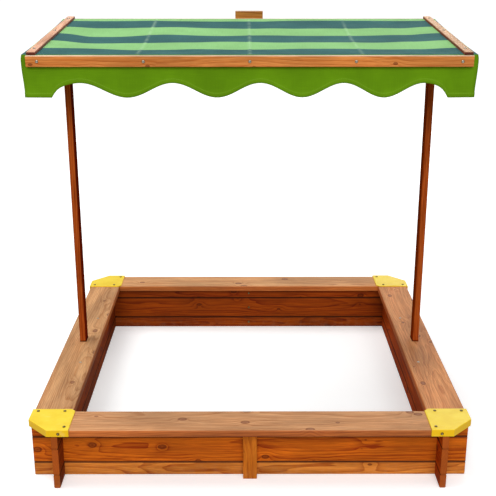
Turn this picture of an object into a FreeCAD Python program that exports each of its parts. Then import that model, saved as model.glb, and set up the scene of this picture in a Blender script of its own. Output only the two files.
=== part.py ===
import FreeCAD, Part
import math
import os
import Sketcher
from FreeCAD import Placement, Rotation, Vector

# Square wooden sandbox with a tilting sun canopy, in millimetres. +Z is up, the front faces -Y, and
# the origin is on the ground at the middle of the box. Pieces are built on the right (+X) or back
# (+Y) side and mirrored to the other side. The canopy's pieces are built flat about its pivot axis,
# then lifted to the pivot and tilted together.

sizes = {
    # walls of three courses of boards that cross at the corners
    "box_side": 1120,
    "end_reach": 62,
    "board_thick": 16,
    "bottom_board": 38,
    "middle_board": 74,
    "top_board": 35,
    "board_bevel": 2.2,
    "lap_gap": 0.2,
    "batten_wide": 36,
    "batten_thick": 20,
    "batten_bevel": 1.5,
    # seat planks on the walls
    "seat_thick": 18,
    "seat_wide": 102,
    "seat_round": 5,
    "seat_gap": 0.3,
    # plastic corner caps over the seats
    "cap_wall": 3,
    "cap_skirt": 16,
    "cap_side": 111,
    "cap_cut": 55,
    "cap_nib": 10,
    "cap_gap": 0.3,
    "cap_round": 1.6,
    # posts outside the side walls, through slots in the side seats
    "post_wide": 38,
    "post_thick": 18,
    "post_bevel": 1.5,
    "slot_gap": 1,
    "pivot_height": 1051,
    # canopy frame
    "canopy_tilt": 4.5,
    "canopy_deep": 596,
    "head_room": 7,
    "rail_thick": 24,
    "rail_below": 14,
    "cross_thick": 18,
    "clamp_thick": 14,
    "clamp_tall": 27,
    "clamp_inset": 5,
    "slat_wide": 22,
    "slat_thick": 7,
    "slat_inset": 6,
    "slat_short": 10,
    "rail_bevel": 1.2,
    "handle_wide": 84,
    "handle_thick": 18,
    "handle_rise": 13,
    "handle_round": 3,
    # cloth
    "cloth_thick": 1.2,
    "cloth_gap": 0.2,
    "valance_drop": 102,
    "wave_rise": 36,
    "wave_wide": 160,
    "wave_pitch": 215,
    # pivots
    "bolt_radius": 4,
    "bolt_fit": 0.05,
    "bolt_head_radius": 10,
    "bolt_head_tall": 4,
    "bolt_sink": 5,
    "bolt_spare": 3,
    "spacer_long": 17.6,
    "spacer_radius": 14,
    "side_play": 0.2,
    "washer_radius": 11,
    "washer_thick": 1.6,
    "washer_gap": 0.3,
    "hub_radius": 7.5,
    "hub_tip_radius": 6,
    "hub_tall": 8,
    "wing_reach": 17,
    "wing_tall": 15,
    "wing_thick": 3,
    # screws
    "shank_radius": 1.75,
    "head_radius": 4,
    "head_tall": 2.2,
    "sink_tall": 2.6,
    "drill_gap": 0.1,
    "seat_screw_spread": 165,
    "cap_screw_inset": 13,
    "clamp_screw_inset": 9,
    "slat_screw_inset": 45,
    "joint_screw_bite": 28,
}

# Places worked out from the sizes. An entry may use the entries above it.
places = {
    "box_half": "Sizes.box_side / 2",
    "wall_out": "box_half - Sizes.end_reach",
    "wall_in": "wall_out - Sizes.board_thick",
    "wall_mid": "wall_out - Sizes.board_thick / 2",
    "bottom_top": "Sizes.bottom_board",
    "middle_top": "bottom_top + Sizes.middle_board",
    "wall_top": "middle_top + Sizes.top_board",
    "seat_top": "wall_top + Sizes.seat_thick",
    "seat_in": "box_half - Sizes.seat_wide",
    "cap_out": "box_half + Sizes.cap_gap + Sizes.cap_wall",
    "cap_in": "cap_out - Sizes.cap_side",
    "cap_low": "seat_top - Sizes.cap_skirt",
    "cap_top": "seat_top + Sizes.cap_wall",
    "cap_hollow": "cap_out - Sizes.cap_wall",
    "cap_hollow_cut": "Sizes.cap_cut - (2 - sqrt(2)) * Sizes.cap_wall",
    "seat_cut": "Sizes.cap_cut - (2 - sqrt(2)) * (Sizes.cap_wall + Sizes.cap_gap)",
    "post_out": "wall_out + Sizes.post_thick",
    "post_half": "Sizes.post_wide / 2",
    "rail_in": "post_out + Sizes.spacer_long + 2 * Sizes.side_play",
    "rail_out": "rail_in + Sizes.rail_thick",
    "rail_top": "post_half + Sizes.head_room",
    "rail_low": "-Sizes.rail_below",
    "clamp_low": "rail_top - Sizes.clamp_tall",
    "clamp_mid": "rail_top - Sizes.clamp_tall / 2",
    "clamp_out": "Sizes.canopy_deep / 2",
    "clamp_in": "clamp_out - Sizes.clamp_thick",
    "flap_out": "clamp_in - Sizes.cloth_gap",
    "frame_end": "flap_out - Sizes.cloth_thick - Sizes.cloth_gap",
    "cross_in": "frame_end - Sizes.cross_thick",
    "clamp_end": "rail_out - Sizes.clamp_inset",
    "cloth_low": "rail_top + Sizes.cloth_gap / 2",
    "slat_low": "cloth_low + Sizes.cloth_thick + Sizes.cloth_gap / 2",
    "slat_top": "slat_low + Sizes.slat_thick",
    "slat_out": "rail_out - Sizes.slat_inset",
    "slat_mid": "slat_out - Sizes.slat_wide / 2",
    "slat_end": "clamp_out - Sizes.slat_short",
    "side_flap_in": "rail_out + Sizes.cloth_gap",
    "side_flap_out": "side_flap_in + Sizes.cloth_thick",
    "flap_top": "rail_top - Sizes.cloth_gap / 2",
    "flap_low": "rail_top - Sizes.valance_drop",
    "wave_radius": "(Sizes.wave_wide^2 / 4 + Sizes.wave_rise^2) / (2 * Sizes.wave_rise)",
    "wave_centre": "flap_low + Sizes.wave_rise - wave_radius",
    "handle_top": "slat_top + Sizes.handle_rise",
    "head_seat": "rail_out - Sizes.bolt_sink",
    "nut_face": "wall_out - Sizes.washer_thick - Sizes.side_play",
    "bolt_end": "nut_face - Sizes.hub_tall - Sizes.bolt_spare",
    "bore_radius": "Sizes.bolt_radius + Sizes.bolt_fit",
}

doc = FreeCAD.newDocument("Sandbox")


def makeSheet(name, rows, prefix):
    sheet = doc.addObject("Spreadsheet::Sheet", name)
    for number, (alias, value) in enumerate(rows.items(), start=1):
        sheet.set("A%d" % number, alias)
        sheet.set("B%d" % number, prefix + str(value))
        sheet.setAlias("B%d" % number, alias)
    doc.recompute()
    return sheet


sizeSheet = makeSheet("Sizes", sizes, "")
placeSheet = makeSheet("Places", places, "=")


def size(alias):
    return float(sizeSheet.get(alias))


def place(alias):
    return float(placeSheet.get(alias))


nodes = {}


def keep(label, piece):
    """Give a finished piece its node name and list it for export."""
    piece.Label = label
    nodes[label] = piece
    return piece


def bind(piece, **expressions):
    for name, expression in expressions.items():
        piece.setExpression(name.replace("__", "."), expression)
    return piece


def makeBox(low, length, width, height):
    """Box with its lowest corner at three expressions."""
    piece = doc.addObject("Part::Box", "Block")
    bind(piece, Length=length, Width=width, Height=height)
    bind(piece, Placement__Base__x=low[0], Placement__Base__y=low[1], Placement__Base__z=low[2])
    return piece


def makeCylinder(radius, height, centre, axis):
    """Cylinder from a centre point given by three expressions, along an axis vector."""
    piece = doc.addObject("Part::Cylinder", "Round")
    piece.Placement = Placement(Vector(), Rotation(Vector(0, 0, 1), axis))
    bind(piece, Radius=radius, Height=height)
    bind(piece, Placement__Base__x=centre[0], Placement__Base__y=centre[1],
         Placement__Base__z=centre[2])
    return piece


def group(pieces):
    piece = doc.addObject("Part::Compound", "Group")
    piece.Links = pieces
    return piece


def subtract(base, tool):
    piece = doc.addObject("Part::Cut", "Cut")
    piece.Base = base
    piece.Tool = tool
    return piece


def mirror(source, normal):
    piece = doc.addObject("Part::Mirroring", "Mirror")
    piece.Source = source
    piece.Normal = normal
    return piece


acrossX = Vector(1, 0, 0)
acrossY = Vector(0, 1, 0)
up = Vector(0, 0, 1)


def edgeNumbers(piece, wanted):
    """Numbers of the straight edges that a test on their two end points picks."""
    doc.recompute()
    numbers = []
    for number, edge in enumerate(piece.Shape.Edges, start=1):
        ends = [vertex.Point for vertex in edge.Vertexes]
        if len(ends) == 2 and wanted(ends[0], ends[1]):
            numbers.append(number)
    return numbers


def along(axis):
    """Test for edges parallel to X, Y or Z (0, 1 or 2)."""
    others = [other for other in range(3) if other != axis]
    return lambda a, b: all(abs(a[other] - b[other]) < 0.01 for other in others)


def soften(kind, base, alias, wanted):
    """Fillet or chamfer of one size along the picked edges."""
    piece = doc.addObject("Part::" + kind, kind)
    piece.Base = base
    amount = size(alias)
    piece.Edges = [(number, amount, amount) for number in edgeNumbers(base, wanted)]
    base.Visibility = False
    return piece


# ---- screws: one pattern for each kind, with its head's top face at the origin and its tip at -Z

def screwPattern(headShape, length, grow):
    """Pan or sunk head screw, or with grow the hole that clears it."""
    shank = doc.addObject("Part::Cylinder", "Shank")
    bind(shank, Radius="Sizes.shank_radius + %s" % grow)
    shank.Height = length
    shank.Placement.Base = Vector(0, 0, -length)
    head = doc.addObject("Part::Cone", "Head")
    if headShape == "sunk":
        bind(head, Radius1="Sizes.shank_radius + %s" % grow, Radius2="Sizes.head_radius + %s" % grow,
             Height="Sizes.sink_tall", Placement__Base__z="-Sizes.sink_tall")
    else:
        bind(head, Radius1="Sizes.head_radius", Radius2="Sizes.head_radius * 0.7",
             Height="Sizes.head_tall")
    if headShape == "pan" and grow != "0":
        return shank
    whole = doc.addObject("Part::MultiFuse", "Screw")
    whole.Shapes = [shank, head]
    return whole


def screwSpots(points, direction):
    """Placements of screws whose heads face a direction."""
    turn = Rotation(up, direction)
    return [Placement(Vector(*point), turn) for point in points]


def copies(pattern, spots):
    """Group of copies of a pattern's solid, one at each placement."""
    doc.recompute()
    piece = doc.addObject("Part::Feature", "Copies")
    shapes = []
    for spot in spots:
        shape = pattern.Shape.copy()
        shape.Placement = spot.multiply(shape.Placement)
        shapes.append(shape)
    piece.Shape = Part.makeCompound(shapes)
    return piece


class ScrewSet:
    """Screws of one kind at their spots, and the holes that clear them."""

    def __init__(self, headShape, length, spots):
        self.screws = copies(screwPattern(headShape, length, "0"), spots)
        self.holes = copies(screwPattern(headShape, length + 1, "Sizes.drill_gap"), spots)

    def drill(self, piece):
        return subtract(piece, self.holes)


def mirroredPoints(points, flipX, flipY):
    """Points with their mirror images across the middle planes, without repeats."""
    found = []
    for x, y, z in points:
        for signX in (1, -1) if flipX else (1,):
            for signY in (1, -1) if flipY else (1,):
                image = (x * signX, y * signY, z)
                if image not in found:
                    found.append(image)
    return found


# ---- screw places

bite = 0.6        # share of the inner piece that a screw's tip reaches through
deepBite = 0.7
middleHeights = [size("bottom_board") / 2, (place("bottom_top") + place("middle_top")) / 2,
                 (place("middle_top") + place("wall_top")) / 2]
battenFace = place("wall_out") + size("batten_thick")
battenScrewLength = size("board_thick") + size("batten_thick") * bite
backBattenScrews = ScrewSet("pan", battenScrewLength, screwSpots(
    [(0, place("wall_in"), height) for height in middleHeights], Vector(0, -1, 0)))
frontBattenScrews = ScrewSet("pan", battenScrewLength, screwSpots(
    [(0, -place("wall_in"), height) for height in middleHeights], Vector(0, 1, 0)))

postScrewLength = size("post_thick") + size("board_thick") * deepBite
postScrewHeights = [middleHeights[0], middleHeights[1]]
rightPostScrews = ScrewSet("sunk", postScrewLength, screwSpots(
    [(place("post_out"), 0, height) for height in postScrewHeights], Vector(1, 0, 0)))
leftPostScrews = ScrewSet("sunk", postScrewLength, screwSpots(
    [(-place("post_out"), 0, height) for height in postScrewHeights], Vector(-1, 0, 0)))

seatScrewLength = size("seat_thick") + size("top_board") * bite
seatScrews = ScrewSet("sunk", seatScrewLength, screwSpots(mirroredPoints(
    [(place("wall_mid"), size("seat_screw_spread"), place("seat_top"))], True, True), up))

capInner = place("cap_in") + size("cap_screw_inset")
capOuter = place("box_half") - size("cap_screw_inset")
capMiddle = capInner + size("cap_screw_inset")
capScrewLength = size("cap_wall") + size("seat_thick") * deepBite
capTopScrews = ScrewSet("pan", capScrewLength, screwSpots(mirroredPoints(
    [(capOuter, capInner, place("cap_top")), (capInner, capOuter, place("cap_top")),
     (capMiddle, capInner, place("cap_top"))], True, True), up))
skirtHeight = place("cap_low") + size("cap_skirt") / 2
skirtScrews = {}
for side, direction in (("right", Vector(1, 0, 0)), ("left", Vector(-1, 0, 0)),
                        ("back", Vector(0, 1, 0)), ("front", Vector(0, -1, 0))):
    if direction.x:
        points = [(direction.x * place("cap_out"), y, skirtHeight)
                  for y in (capMiddle, -capMiddle)]
    else:
        points = [(x, direction.y * place("cap_out"), skirtHeight)
                  for x in (capMiddle, -capMiddle)]
    skirtScrews[side] = ScrewSet("pan", capScrewLength, screwSpots(points, direction))


# ---- walls

def makeBoard(side, course, low, tall):
    """One board of a wall: bevelled along its length and half lapped at both corners."""
    alongX = side in ("front", "back")
    near = "Places.wall_in" if side in ("back", "right") else "-Places.wall_out"
    ends = "-Places.box_half"
    if alongX:
        plain = makeBox((ends, near, low), "Sizes.box_side", "Sizes.board_thick", tall)
    else:
        plain = makeBox((near, ends, low), "Sizes.board_thick", "Sizes.box_side", tall)
    bevelled = soften("Chamfer", plain, "board_bevel", along(0 if alongX else 1))
    lapWide = "Sizes.board_thick + 2 * Sizes.lap_gap"
    lapLow = "%s + %s / 2 - Sizes.lap_gap / 2" % (low, tall) if alongX else "%s - 1" % low
    lapTall = "%s / 2 + Sizes.lap_gap / 2 + 1" % tall
    laps = []
    for corner in ("Places.wall_in - Sizes.lap_gap", "-Places.wall_out - Sizes.lap_gap"):
        spot = (corner, near + " - 1", lapLow) if alongX else (near + " - 1", corner, lapLow)
        long = lapWide if alongX else "Sizes.board_thick + 2"
        wide = "Sizes.board_thick + 2" if alongX else lapWide
        laps.append(makeBox(spot, long, wide, lapTall))
    board = subtract(bevelled, group(laps))
    return board


battenScrewsOf = {"front": frontBattenScrews, "back": backBattenScrews}
postScrewsOf = {"left": leftPostScrews, "right": rightPostScrews}
courses = {
    "bottom": ("0", "Sizes.bottom_board"),
    "middle": ("Places.bottom_top", "Sizes.middle_board"),
    "top": ("Places.middle_top", "Sizes.top_board"),
}
for side in ("front", "back", "left", "right"):
    for course, (low, tall) in courses.items():
        board = makeBoard(side, course, low, tall)
        if side in battenScrewsOf:
            board = battenScrewsOf[side].drill(board)
        else:
            if course == "top":
                board = seatScrews.drill(board)
            else:
                board = postScrewsOf[side].drill(board)
        keep("%s_%s_board" % (side, course), board)

batten = makeBox(("-Sizes.batten_wide / 2", "Places.wall_out", "0"), "Sizes.batten_wide",
                 "Sizes.batten_thick", "Places.wall_top")
batten = soften("Chamfer", batten, "batten_bevel",
                lambda a, b: along(2)(a, b) and a.y > battenFace - 0.1)
keep("back_batten", backBattenScrews.drill(batten))
keep("front_batten", frontBattenScrews.drill(mirror(batten, acrossY)))
keep("batten_screws", group([frontBattenScrews.screws, backBattenScrews.screws]))


# ---- seats

def topEdges(axis, height):
    return lambda a, b: along(axis)(a, b) and a.z > height - 0.1


seatTop = place("seat_top")
longSeat = makeBox(("-Places.box_half", "Places.seat_in", "Places.wall_top"), "Sizes.box_side",
                   "Sizes.seat_wide", "Sizes.seat_thick")
cutCorner = place("box_half") - 0.1
seatCorners = doc.addObject("Part::Chamfer", "Chamfer")
seatCorners.Base = longSeat
seatCorners.Edges = [(number, place("seat_cut"), place("seat_cut")) for number in edgeNumbers(
    longSeat, lambda a, b: along(2)(a, b) and a.y > cutCorner)]
longSeat = soften("Fillet", seatCorners, "seat_round", topEdges(0, seatTop))
for side in ("back", "front"):
    plank = longSeat if side == "back" else mirror(longSeat, acrossY)
    for capScrews in (capTopScrews, skirtScrews[side], skirtScrews["left"], skirtScrews["right"]):
        plank = capScrews.drill(plank)
    keep(side + "_seat", plank)

sideSeatEnd = "(Places.seat_in - Sizes.seat_gap)"
sideSeat = makeBox(("Places.seat_in", "-" + sideSeatEnd, "Places.wall_top"), "Sizes.seat_wide",
                   "2 * " + sideSeatEnd, "Sizes.seat_thick")
sideSeat = soften("Fillet", sideSeat, "seat_round", topEdges(1, seatTop))
postSlot = makeBox(("Places.wall_out - Sizes.slot_gap", "-Places.post_half - Sizes.slot_gap",
                    "Places.wall_top - 1"), "Sizes.post_thick + 2 * Sizes.slot_gap",
                   "Sizes.post_wide + 2 * Sizes.slot_gap", "Sizes.seat_thick + 2")
sideSeat = subtract(sideSeat, postSlot)
for side in ("right", "left"):
    plank = sideSeat if side == "right" else mirror(sideSeat, acrossX)
    plank = seatScrews.drill(plank)
    keep(side + "_seat", capTopScrews.drill(plank))
keep("seat_screws", seatScrews.screws)


# ---- corner caps: a plate over the corner with a skirt round its outer sides

def makeSketch(body, name, role):
    """Empty sketch on one of the body's own origin planes."""
    sketch = body.newObject("Sketcher::SketchObject", name)
    plane = [feature for feature in body.Origin.OriginFeatures if feature.Role == role][0]
    sketch.AttachmentSupport = [(plane, "")]
    sketch.MapMode = "FlatFace"
    return sketch


def drawOutline(sketch, corners):
    """Closed outline of straight lines; each corner is a pair of positive expressions."""
    rough = [(40 + 10 * math.cos(2 * math.pi * number / len(corners)),
              40 + 10 * math.sin(2 * math.pi * number / len(corners)))
             for number in range(len(corners))]
    total = len(corners)
    for number in range(total):
        start = Vector(*rough[number], 0)
        end = Vector(*rough[(number + 1) % total], 0)
        sketch.addGeometry(Part.LineSegment(start, end))
    for number in range(total):
        sketch.addConstraint(Sketcher.Constraint("Coincident", number, 2, (number + 1) % total, 1))
    for number, (across, along_) in enumerate(corners):
        for kind, expression in (("DistanceX", across), ("DistanceY", along_)):
            value = sketch.addConstraint(Sketcher.Constraint(kind, -1, 1, number, 1, 40.0))
            sketch.setExpression("Constraints[%d]" % value, expression)


capBody = doc.addObject("PartDesign::Body", "CapBody")
bind(capBody, Placement__Base__z="Places.cap_low")
capOutline = makeSketch(capBody, "CapOutline", "XY_Plane")
drawOutline(capOutline, [
    ("Places.cap_in + Sizes.cap_nib", "Places.cap_in"),
    ("Places.cap_out", "Places.cap_in"),
    ("Places.cap_out", "Places.cap_out - Sizes.cap_cut"),
    ("Places.cap_out - Sizes.cap_cut", "Places.cap_out"),
    ("Places.cap_in", "Places.cap_out"),
    ("Places.cap_in", "Places.cap_in + Sizes.cap_nib"),
])
capPad = capBody.newObject("PartDesign::Pad", "CapPad")
capPad.Profile = capOutline
bind(capPad, Length="Sizes.cap_skirt + Sizes.cap_wall")
capHollow = makeSketch(capBody, "CapHollow", "XY_Plane")
drawOutline(capHollow, [
    ("Places.cap_in - 5", "Places.cap_in - 5"),
    ("Places.cap_hollow", "Places.cap_in - 5"),
    ("Places.cap_hollow", "Places.cap_hollow - Places.cap_hollow_cut"),
    ("Places.cap_hollow - Places.cap_hollow_cut", "Places.cap_hollow"),
    ("Places.cap_in - 5", "Places.cap_hollow"),
])
capPocket = capBody.newObject("PartDesign::Pocket", "CapPocket")
capPocket.Profile = capHollow
bind(capPocket, Length="Sizes.cap_skirt")
capPocket.Reversed = True
doc.recompute()
capTall = size("cap_skirt") + size("cap_wall")
if capPocket.Shape.Volume > capPad.Shape.Volume * 0.5:
    raise SystemExit("the cap's hollow cut nothing")
capCorner = place("cap_out") - 0.1
capEdges = edgeNumbers(capPocket, lambda a, b: (
    min(a.z, b.z) > capTall - 0.1 or (along(2)(a, b) and max(a.x, a.y) > capCorner
                                      and min(a.x, a.y) > place("cap_in") + 1)))
capFillet = capBody.newObject("PartDesign::Fillet", "CapFillet")
capFillet.Base = (capPocket, ["Edge%d" % number for number in capEdges])
bind(capFillet, Radius="Sizes.cap_round")
capBody.Tip = capFillet

for back in ("back", "front"):
    for side in ("right", "left"):
        cap = capBody if side == "right" else mirror(capBody, acrossX)
        cap = cap if back == "back" else mirror(cap, acrossY)
        cap = capTopScrews.drill(cap)
        cap = skirtScrews[back].drill(cap)
        keep("%s_%s_cap" % (back, side), skirtScrews[side].drill(cap))
keep("cap_screws", group([capTopScrews.screws] + [screws.screws for screws in skirtScrews.values()]))


# ---- posts: round at the top about the pivot

postBody = doc.addObject("PartDesign::Body", "PostBody")
bind(postBody, Placement__Base__x="Places.wall_out")
postOutline = makeSketch(postBody, "PostOutline", "YZ_Plane")
postOutline.addGeometry(Part.LineSegment(Vector(-19, 0, 0), Vector(19, 0, 0)))
postOutline.addGeometry(Part.LineSegment(Vector(19, 0, 0), Vector(19, 100, 0)))
postOutline.addGeometry(Part.ArcOfCircle(Part.Circle(Vector(0, 100, 0), up, 19), 0, math.pi))
postOutline.addGeometry(Part.LineSegment(Vector(-19, 100, 0), Vector(-19, 0, 0)))
postOutline.addGeometry(Part.Circle(Vector(0, 100, 0), up, 4))
for first, firstEnd, second, secondEnd in ((0, 2, 1, 1), (1, 2, 2, 1), (2, 2, 3, 1), (3, 2, 0, 1)):
    postOutline.addConstraint(Sketcher.Constraint("Coincident", first, firstEnd, second, secondEnd))
postOutline.addConstraint(Sketcher.Constraint("Horizontal", 0))
postOutline.addConstraint(Sketcher.Constraint("Vertical", 1))
postOutline.addConstraint(Sketcher.Constraint("Vertical", 3))
postOutline.addConstraint(Sketcher.Constraint("PointOnObject", 0, 1, -1))
postOutline.addConstraint(Sketcher.Constraint("PointOnObject", 2, 3, -2))
postOutline.addConstraint(Sketcher.Constraint("Coincident", 4, 3, 2, 3))
postOutline.addConstraint(Sketcher.Constraint("Horizontal", 1, 2, 2, 3))
postOutline.addConstraint(Sketcher.Constraint("Horizontal", 3, 1, 2, 3))
for kind, where, expression in (("Radius", (2,), "Places.post_half"),
                                ("Radius", (4,), "Places.bore_radius"),
                                ("DistanceY", (-1, 1, 2, 3), "Sizes.pivot_height")):
    value = postOutline.addConstraint(Sketcher.Constraint(kind, *where, 19.0))
    postOutline.setExpression("Constraints[%d]" % value, expression)
postPad = postBody.newObject("PartDesign::Pad", "PostPad")
postPad.Profile = postOutline
bind(postPad, Length="Sizes.post_thick")
doc.recompute()
postEdges = edgeNumbers(postPad, along(2))
postChamfer = postBody.newObject("PartDesign::Chamfer", "PostChamfer")
postChamfer.Base = (postPad, ["Edge%d" % number for number in postEdges])
bind(postChamfer, Size="Sizes.post_bevel")
postBody.Tip = postChamfer
keep("right_post", rightPostScrews.drill(postBody))
keep("left_post", leftPostScrews.drill(mirror(postBody, acrossX)))
keep("post_screws", group([rightPostScrews.screws, leftPostScrews.screws]))


# ---- canopy: built flat about its pivot axis

def hang(label, pieces):
    """Lift pieces from the flat canopy frame to the pivot and tilt them; returns the node."""
    piece = group(pieces)
    piece.Placement = Placement(Vector(), Rotation(Vector(1, 0, 0), 1))
    bind(piece, Placement__Base__z="Sizes.pivot_height", Placement__Rotation__Angle="Sizes.canopy_tilt")
    return keep(label, piece)


def bothSides(name, piece):
    hang("right_" + name, [piece])
    hang("left_" + name, [mirror(piece, acrossX)])


clampFace = place("clamp_out")
clampScrewLength = size("clamp_thick") + size("cross_thick") * bite
clampEndScrew = place("rail_in") - size("clamp_screw_inset")
clampScrewPoints = [clampEndScrew * share for share in (-1, -0.5, 0, 0.5, 1)]
frontClampScrews = ScrewSet("pan", clampScrewLength, screwSpots(
    [(x, -clampFace, place("clamp_mid")) for x in clampScrewPoints], Vector(0, -1, 0)))
backClampScrews = ScrewSet("pan", clampScrewLength, screwSpots(
    [(x, clampFace, place("clamp_mid")) for x in clampScrewPoints if x != 0], Vector(0, 1, 0)))

slatMidShare = 0.12       # the middle screw stands behind the pivot, clear of the spacer
slatEndScrew = place("slat_end") - size("slat_screw_inset")
slatScrewLength = size("slat_thick") + size("cloth_thick") + (place("rail_top") - place("rail_low")) * 0.5
slatScrews = ScrewSet("pan", slatScrewLength, screwSpots(mirroredPoints(
    [(place("slat_mid"), slatEndScrew * share, place("slat_top")) for share in (-1, slatMidShare, 1)],
    True, False), up))

jointShares = (0.25, 0.75)
jointScrewHeights = [place("clamp_low") + size("clamp_tall") * share for share in jointShares]
jointScrewPlace = place("frame_end") - size("cross_thick") / 2
jointScrewLength = size("rail_thick") + size("joint_screw_bite")
rightJointScrews = ScrewSet("sunk", jointScrewLength, screwSpots(
    [(place("rail_out"), y, z) for y in (jointScrewPlace, -jointScrewPlace)
     for z in jointScrewHeights], Vector(1, 0, 0)))
leftJointScrews = ScrewSet("sunk", jointScrewLength, screwSpots(
    [(-place("rail_out"), y, z) for y in (jointScrewPlace, -jointScrewPlace)
     for z in jointScrewHeights], Vector(-1, 0, 0)))

handleScrewLength = size("handle_thick") + size("clamp_thick") * deepBite
handleShare = 0.32        # screws either side of the handle's middle
handleFace = place("clamp_out") + size("handle_thick")
handleScrews = ScrewSet("pan", handleScrewLength, screwSpots(
    [(size("handle_wide") * share, handleFace, place("clamp_mid")) for share in (-handleShare, handleShare)],
    Vector(0, 1, 0)))

sideRail = makeBox(("Places.rail_in", "-Places.frame_end", "Places.rail_low"), "Sizes.rail_thick",
                   "2 * Places.frame_end", "Places.rail_top - Places.rail_low")
sideRail = soften("Chamfer", sideRail, "rail_bevel", along(1))
boltWay = makeCylinder("Places.bore_radius", "Sizes.rail_thick + 2",
                       ("Places.rail_in - 1", "0", "0"), Vector(1, 0, 0))
headWay = makeCylinder("Sizes.bolt_head_radius + 1", "Sizes.bolt_sink + 1",
                       ("Places.head_seat", "0", "0"), Vector(1, 0, 0))
sideRail = subtract(sideRail, group([boltWay, headWay]))
slatDrilled = slatScrews.drill(sideRail)
hang("right_side_rail", [rightJointScrews.drill(slatDrilled)])
leftRail = slatScrews.drill(mirror(sideRail, acrossX))
hang("left_side_rail", [leftJointScrews.drill(leftRail)])

cross = makeBox(("-Places.rail_in", "Places.cross_in", "Places.clamp_low"), "2 * Places.rail_in",
                "Sizes.cross_thick", "Sizes.clamp_tall")
cross = soften("Chamfer", cross, "rail_bevel", along(0))
clamp = makeBox(("-Places.clamp_end", "Places.clamp_in", "Places.clamp_low"), "2 * Places.clamp_end",
                "Sizes.clamp_thick", "Sizes.clamp_tall")
clamp = soften("Chamfer", clamp, "rail_bevel", along(0))
for side, screws in (("back", backClampScrews), ("front", frontClampScrews)):
    crossPiece = cross if side == "back" else mirror(cross, acrossY)
    for joint in (screws, rightJointScrews, leftJointScrews):
        crossPiece = joint.drill(crossPiece)
    hang(side + "_cross_rail", [crossPiece])
    clampPiece = clamp if side == "back" else mirror(clamp, acrossY)
    clampPiece = screws.drill(clampPiece)
    if side == "back":
        clampPiece = handleScrews.drill(clampPiece)
    hang(side + "_clamp_rail", [clampPiece])

slat = makeBox(("Places.slat_out - Sizes.slat_wide", "-Places.slat_end", "Places.slat_low"),
               "Sizes.slat_wide", "2 * Places.slat_end", "Sizes.slat_thick")
slat = soften("Chamfer", slat, "rail_bevel", lambda a, b: a.z > place("slat_top") - 0.1
              and b.z > place("slat_top") - 0.1)
hang("right_slat", [slatScrews.drill(slat)])
hang("left_slat", [slatScrews.drill(mirror(slat, acrossX))])

handle = makeBox(("-Sizes.handle_wide / 2", "Places.clamp_out", "Places.clamp_low"),
                 "Sizes.handle_wide", "Sizes.handle_thick", "Places.handle_top - Places.clamp_low")
handle = soften("Fillet", handle, "handle_round",
                lambda a, b: a.y > handleFace - 0.1 and b.y > handleFace - 0.1)
hang("back_handle", [handleScrews.drill(handle)])

hang("clamp_screws", [frontClampScrews.screws, backClampScrews.screws])
hang("slat_screws", [slatScrews.screws])
hang("frame_screws", [rightJointScrews.screws, leftJointScrews.screws])
hang("handle_screws", [handleScrews.screws])


# ---- cloth: a top sheet and four hanging valances with a wavy lower edge

topCloth = makeBox(("-Places.side_flap_out", "-Places.flap_out", "Places.cloth_low"),
                   "2 * Places.side_flap_out", "2 * Places.flap_out", "Sizes.cloth_thick")
hang("canopy_cloth", [slatScrews.drill(topCloth)])


def cutWaves(plate, count, alongX, centreOut):
    """Cut a row of shallow arcs out of a valance's lower edge."""
    arcs = []
    for number in range(count):
        spot = "%s * Sizes.wave_pitch" % (number - (count - 1) / 2)
        if alongX:
            centre = (spot, centreOut + " - 5", "Places.wave_centre")
            axis = Vector(0, 1, 0)
        else:
            centre = (centreOut + " - 5", spot, "Places.wave_centre")
            axis = Vector(1, 0, 0)
        arcs.append(makeCylinder("Places.wave_radius", "Sizes.cloth_thick + 10", centre, axis))
    return subtract(plate, group(arcs))


frontWaves = 5
sideWaves = 2
backFlap = makeBox(("-Places.side_flap_out", "Places.flap_out - Sizes.cloth_thick", "Places.flap_low"),
                   "2 * Places.side_flap_out", "Sizes.cloth_thick", "Places.flap_top - Places.flap_low")
backFlap = cutWaves(backFlap, frontWaves, True, "Places.flap_out")
hang("back_valance", [backClampScrews.drill(backFlap)])
hang("front_valance", [frontClampScrews.drill(mirror(backFlap, acrossY))])
sideFlap = makeBox(("Places.side_flap_in", "-Places.frame_end", "Places.flap_low"),
                   "Sizes.cloth_thick", "2 * Places.frame_end", "Places.flap_top - Places.flap_low")
bothSides("valance", cutWaves(sideFlap, sideWaves, False, "Places.side_flap_out"))


# ---- pivots: a bolt through side rail, spacer, post and washer, held by a wing nut

bolt = doc.addObject("Part::MultiFuse", "Bolt")
bolt.Shapes = [
    makeCylinder("Sizes.bolt_radius", "Places.head_seat - Places.bolt_end",
                 ("Places.bolt_end", "0", "0"), Vector(1, 0, 0)),
    makeCylinder("Sizes.bolt_head_radius", "Sizes.bolt_head_tall",
                 ("Places.head_seat", "0", "0"), Vector(1, 0, 0)),
]
bothSides("pivot_bolt", bolt)

spacer = subtract(
    makeCylinder("Sizes.spacer_radius", "Sizes.spacer_long",
                 ("Places.post_out + Sizes.side_play", "0", "0"), Vector(1, 0, 0)),
    makeCylinder("Places.bore_radius", "Sizes.spacer_long + 2",
                 ("Places.post_out - 1", "0", "0"), Vector(1, 0, 0)))
bothSides("spacer", spacer)

washer = subtract(
    makeCylinder("Sizes.washer_radius", "Sizes.washer_thick",
                 ("Places.wall_out - Sizes.washer_thick", "0", "Sizes.pivot_height"), Vector(1, 0, 0)),
    makeCylinder("Sizes.bolt_radius + Sizes.washer_gap", "Sizes.washer_thick + 2",
                 ("Places.wall_out - Sizes.washer_thick - 1", "0", "Sizes.pivot_height"),
                 Vector(1, 0, 0)))
keep("right_washer", washer)
keep("left_washer", mirror(washer, acrossX))


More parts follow.
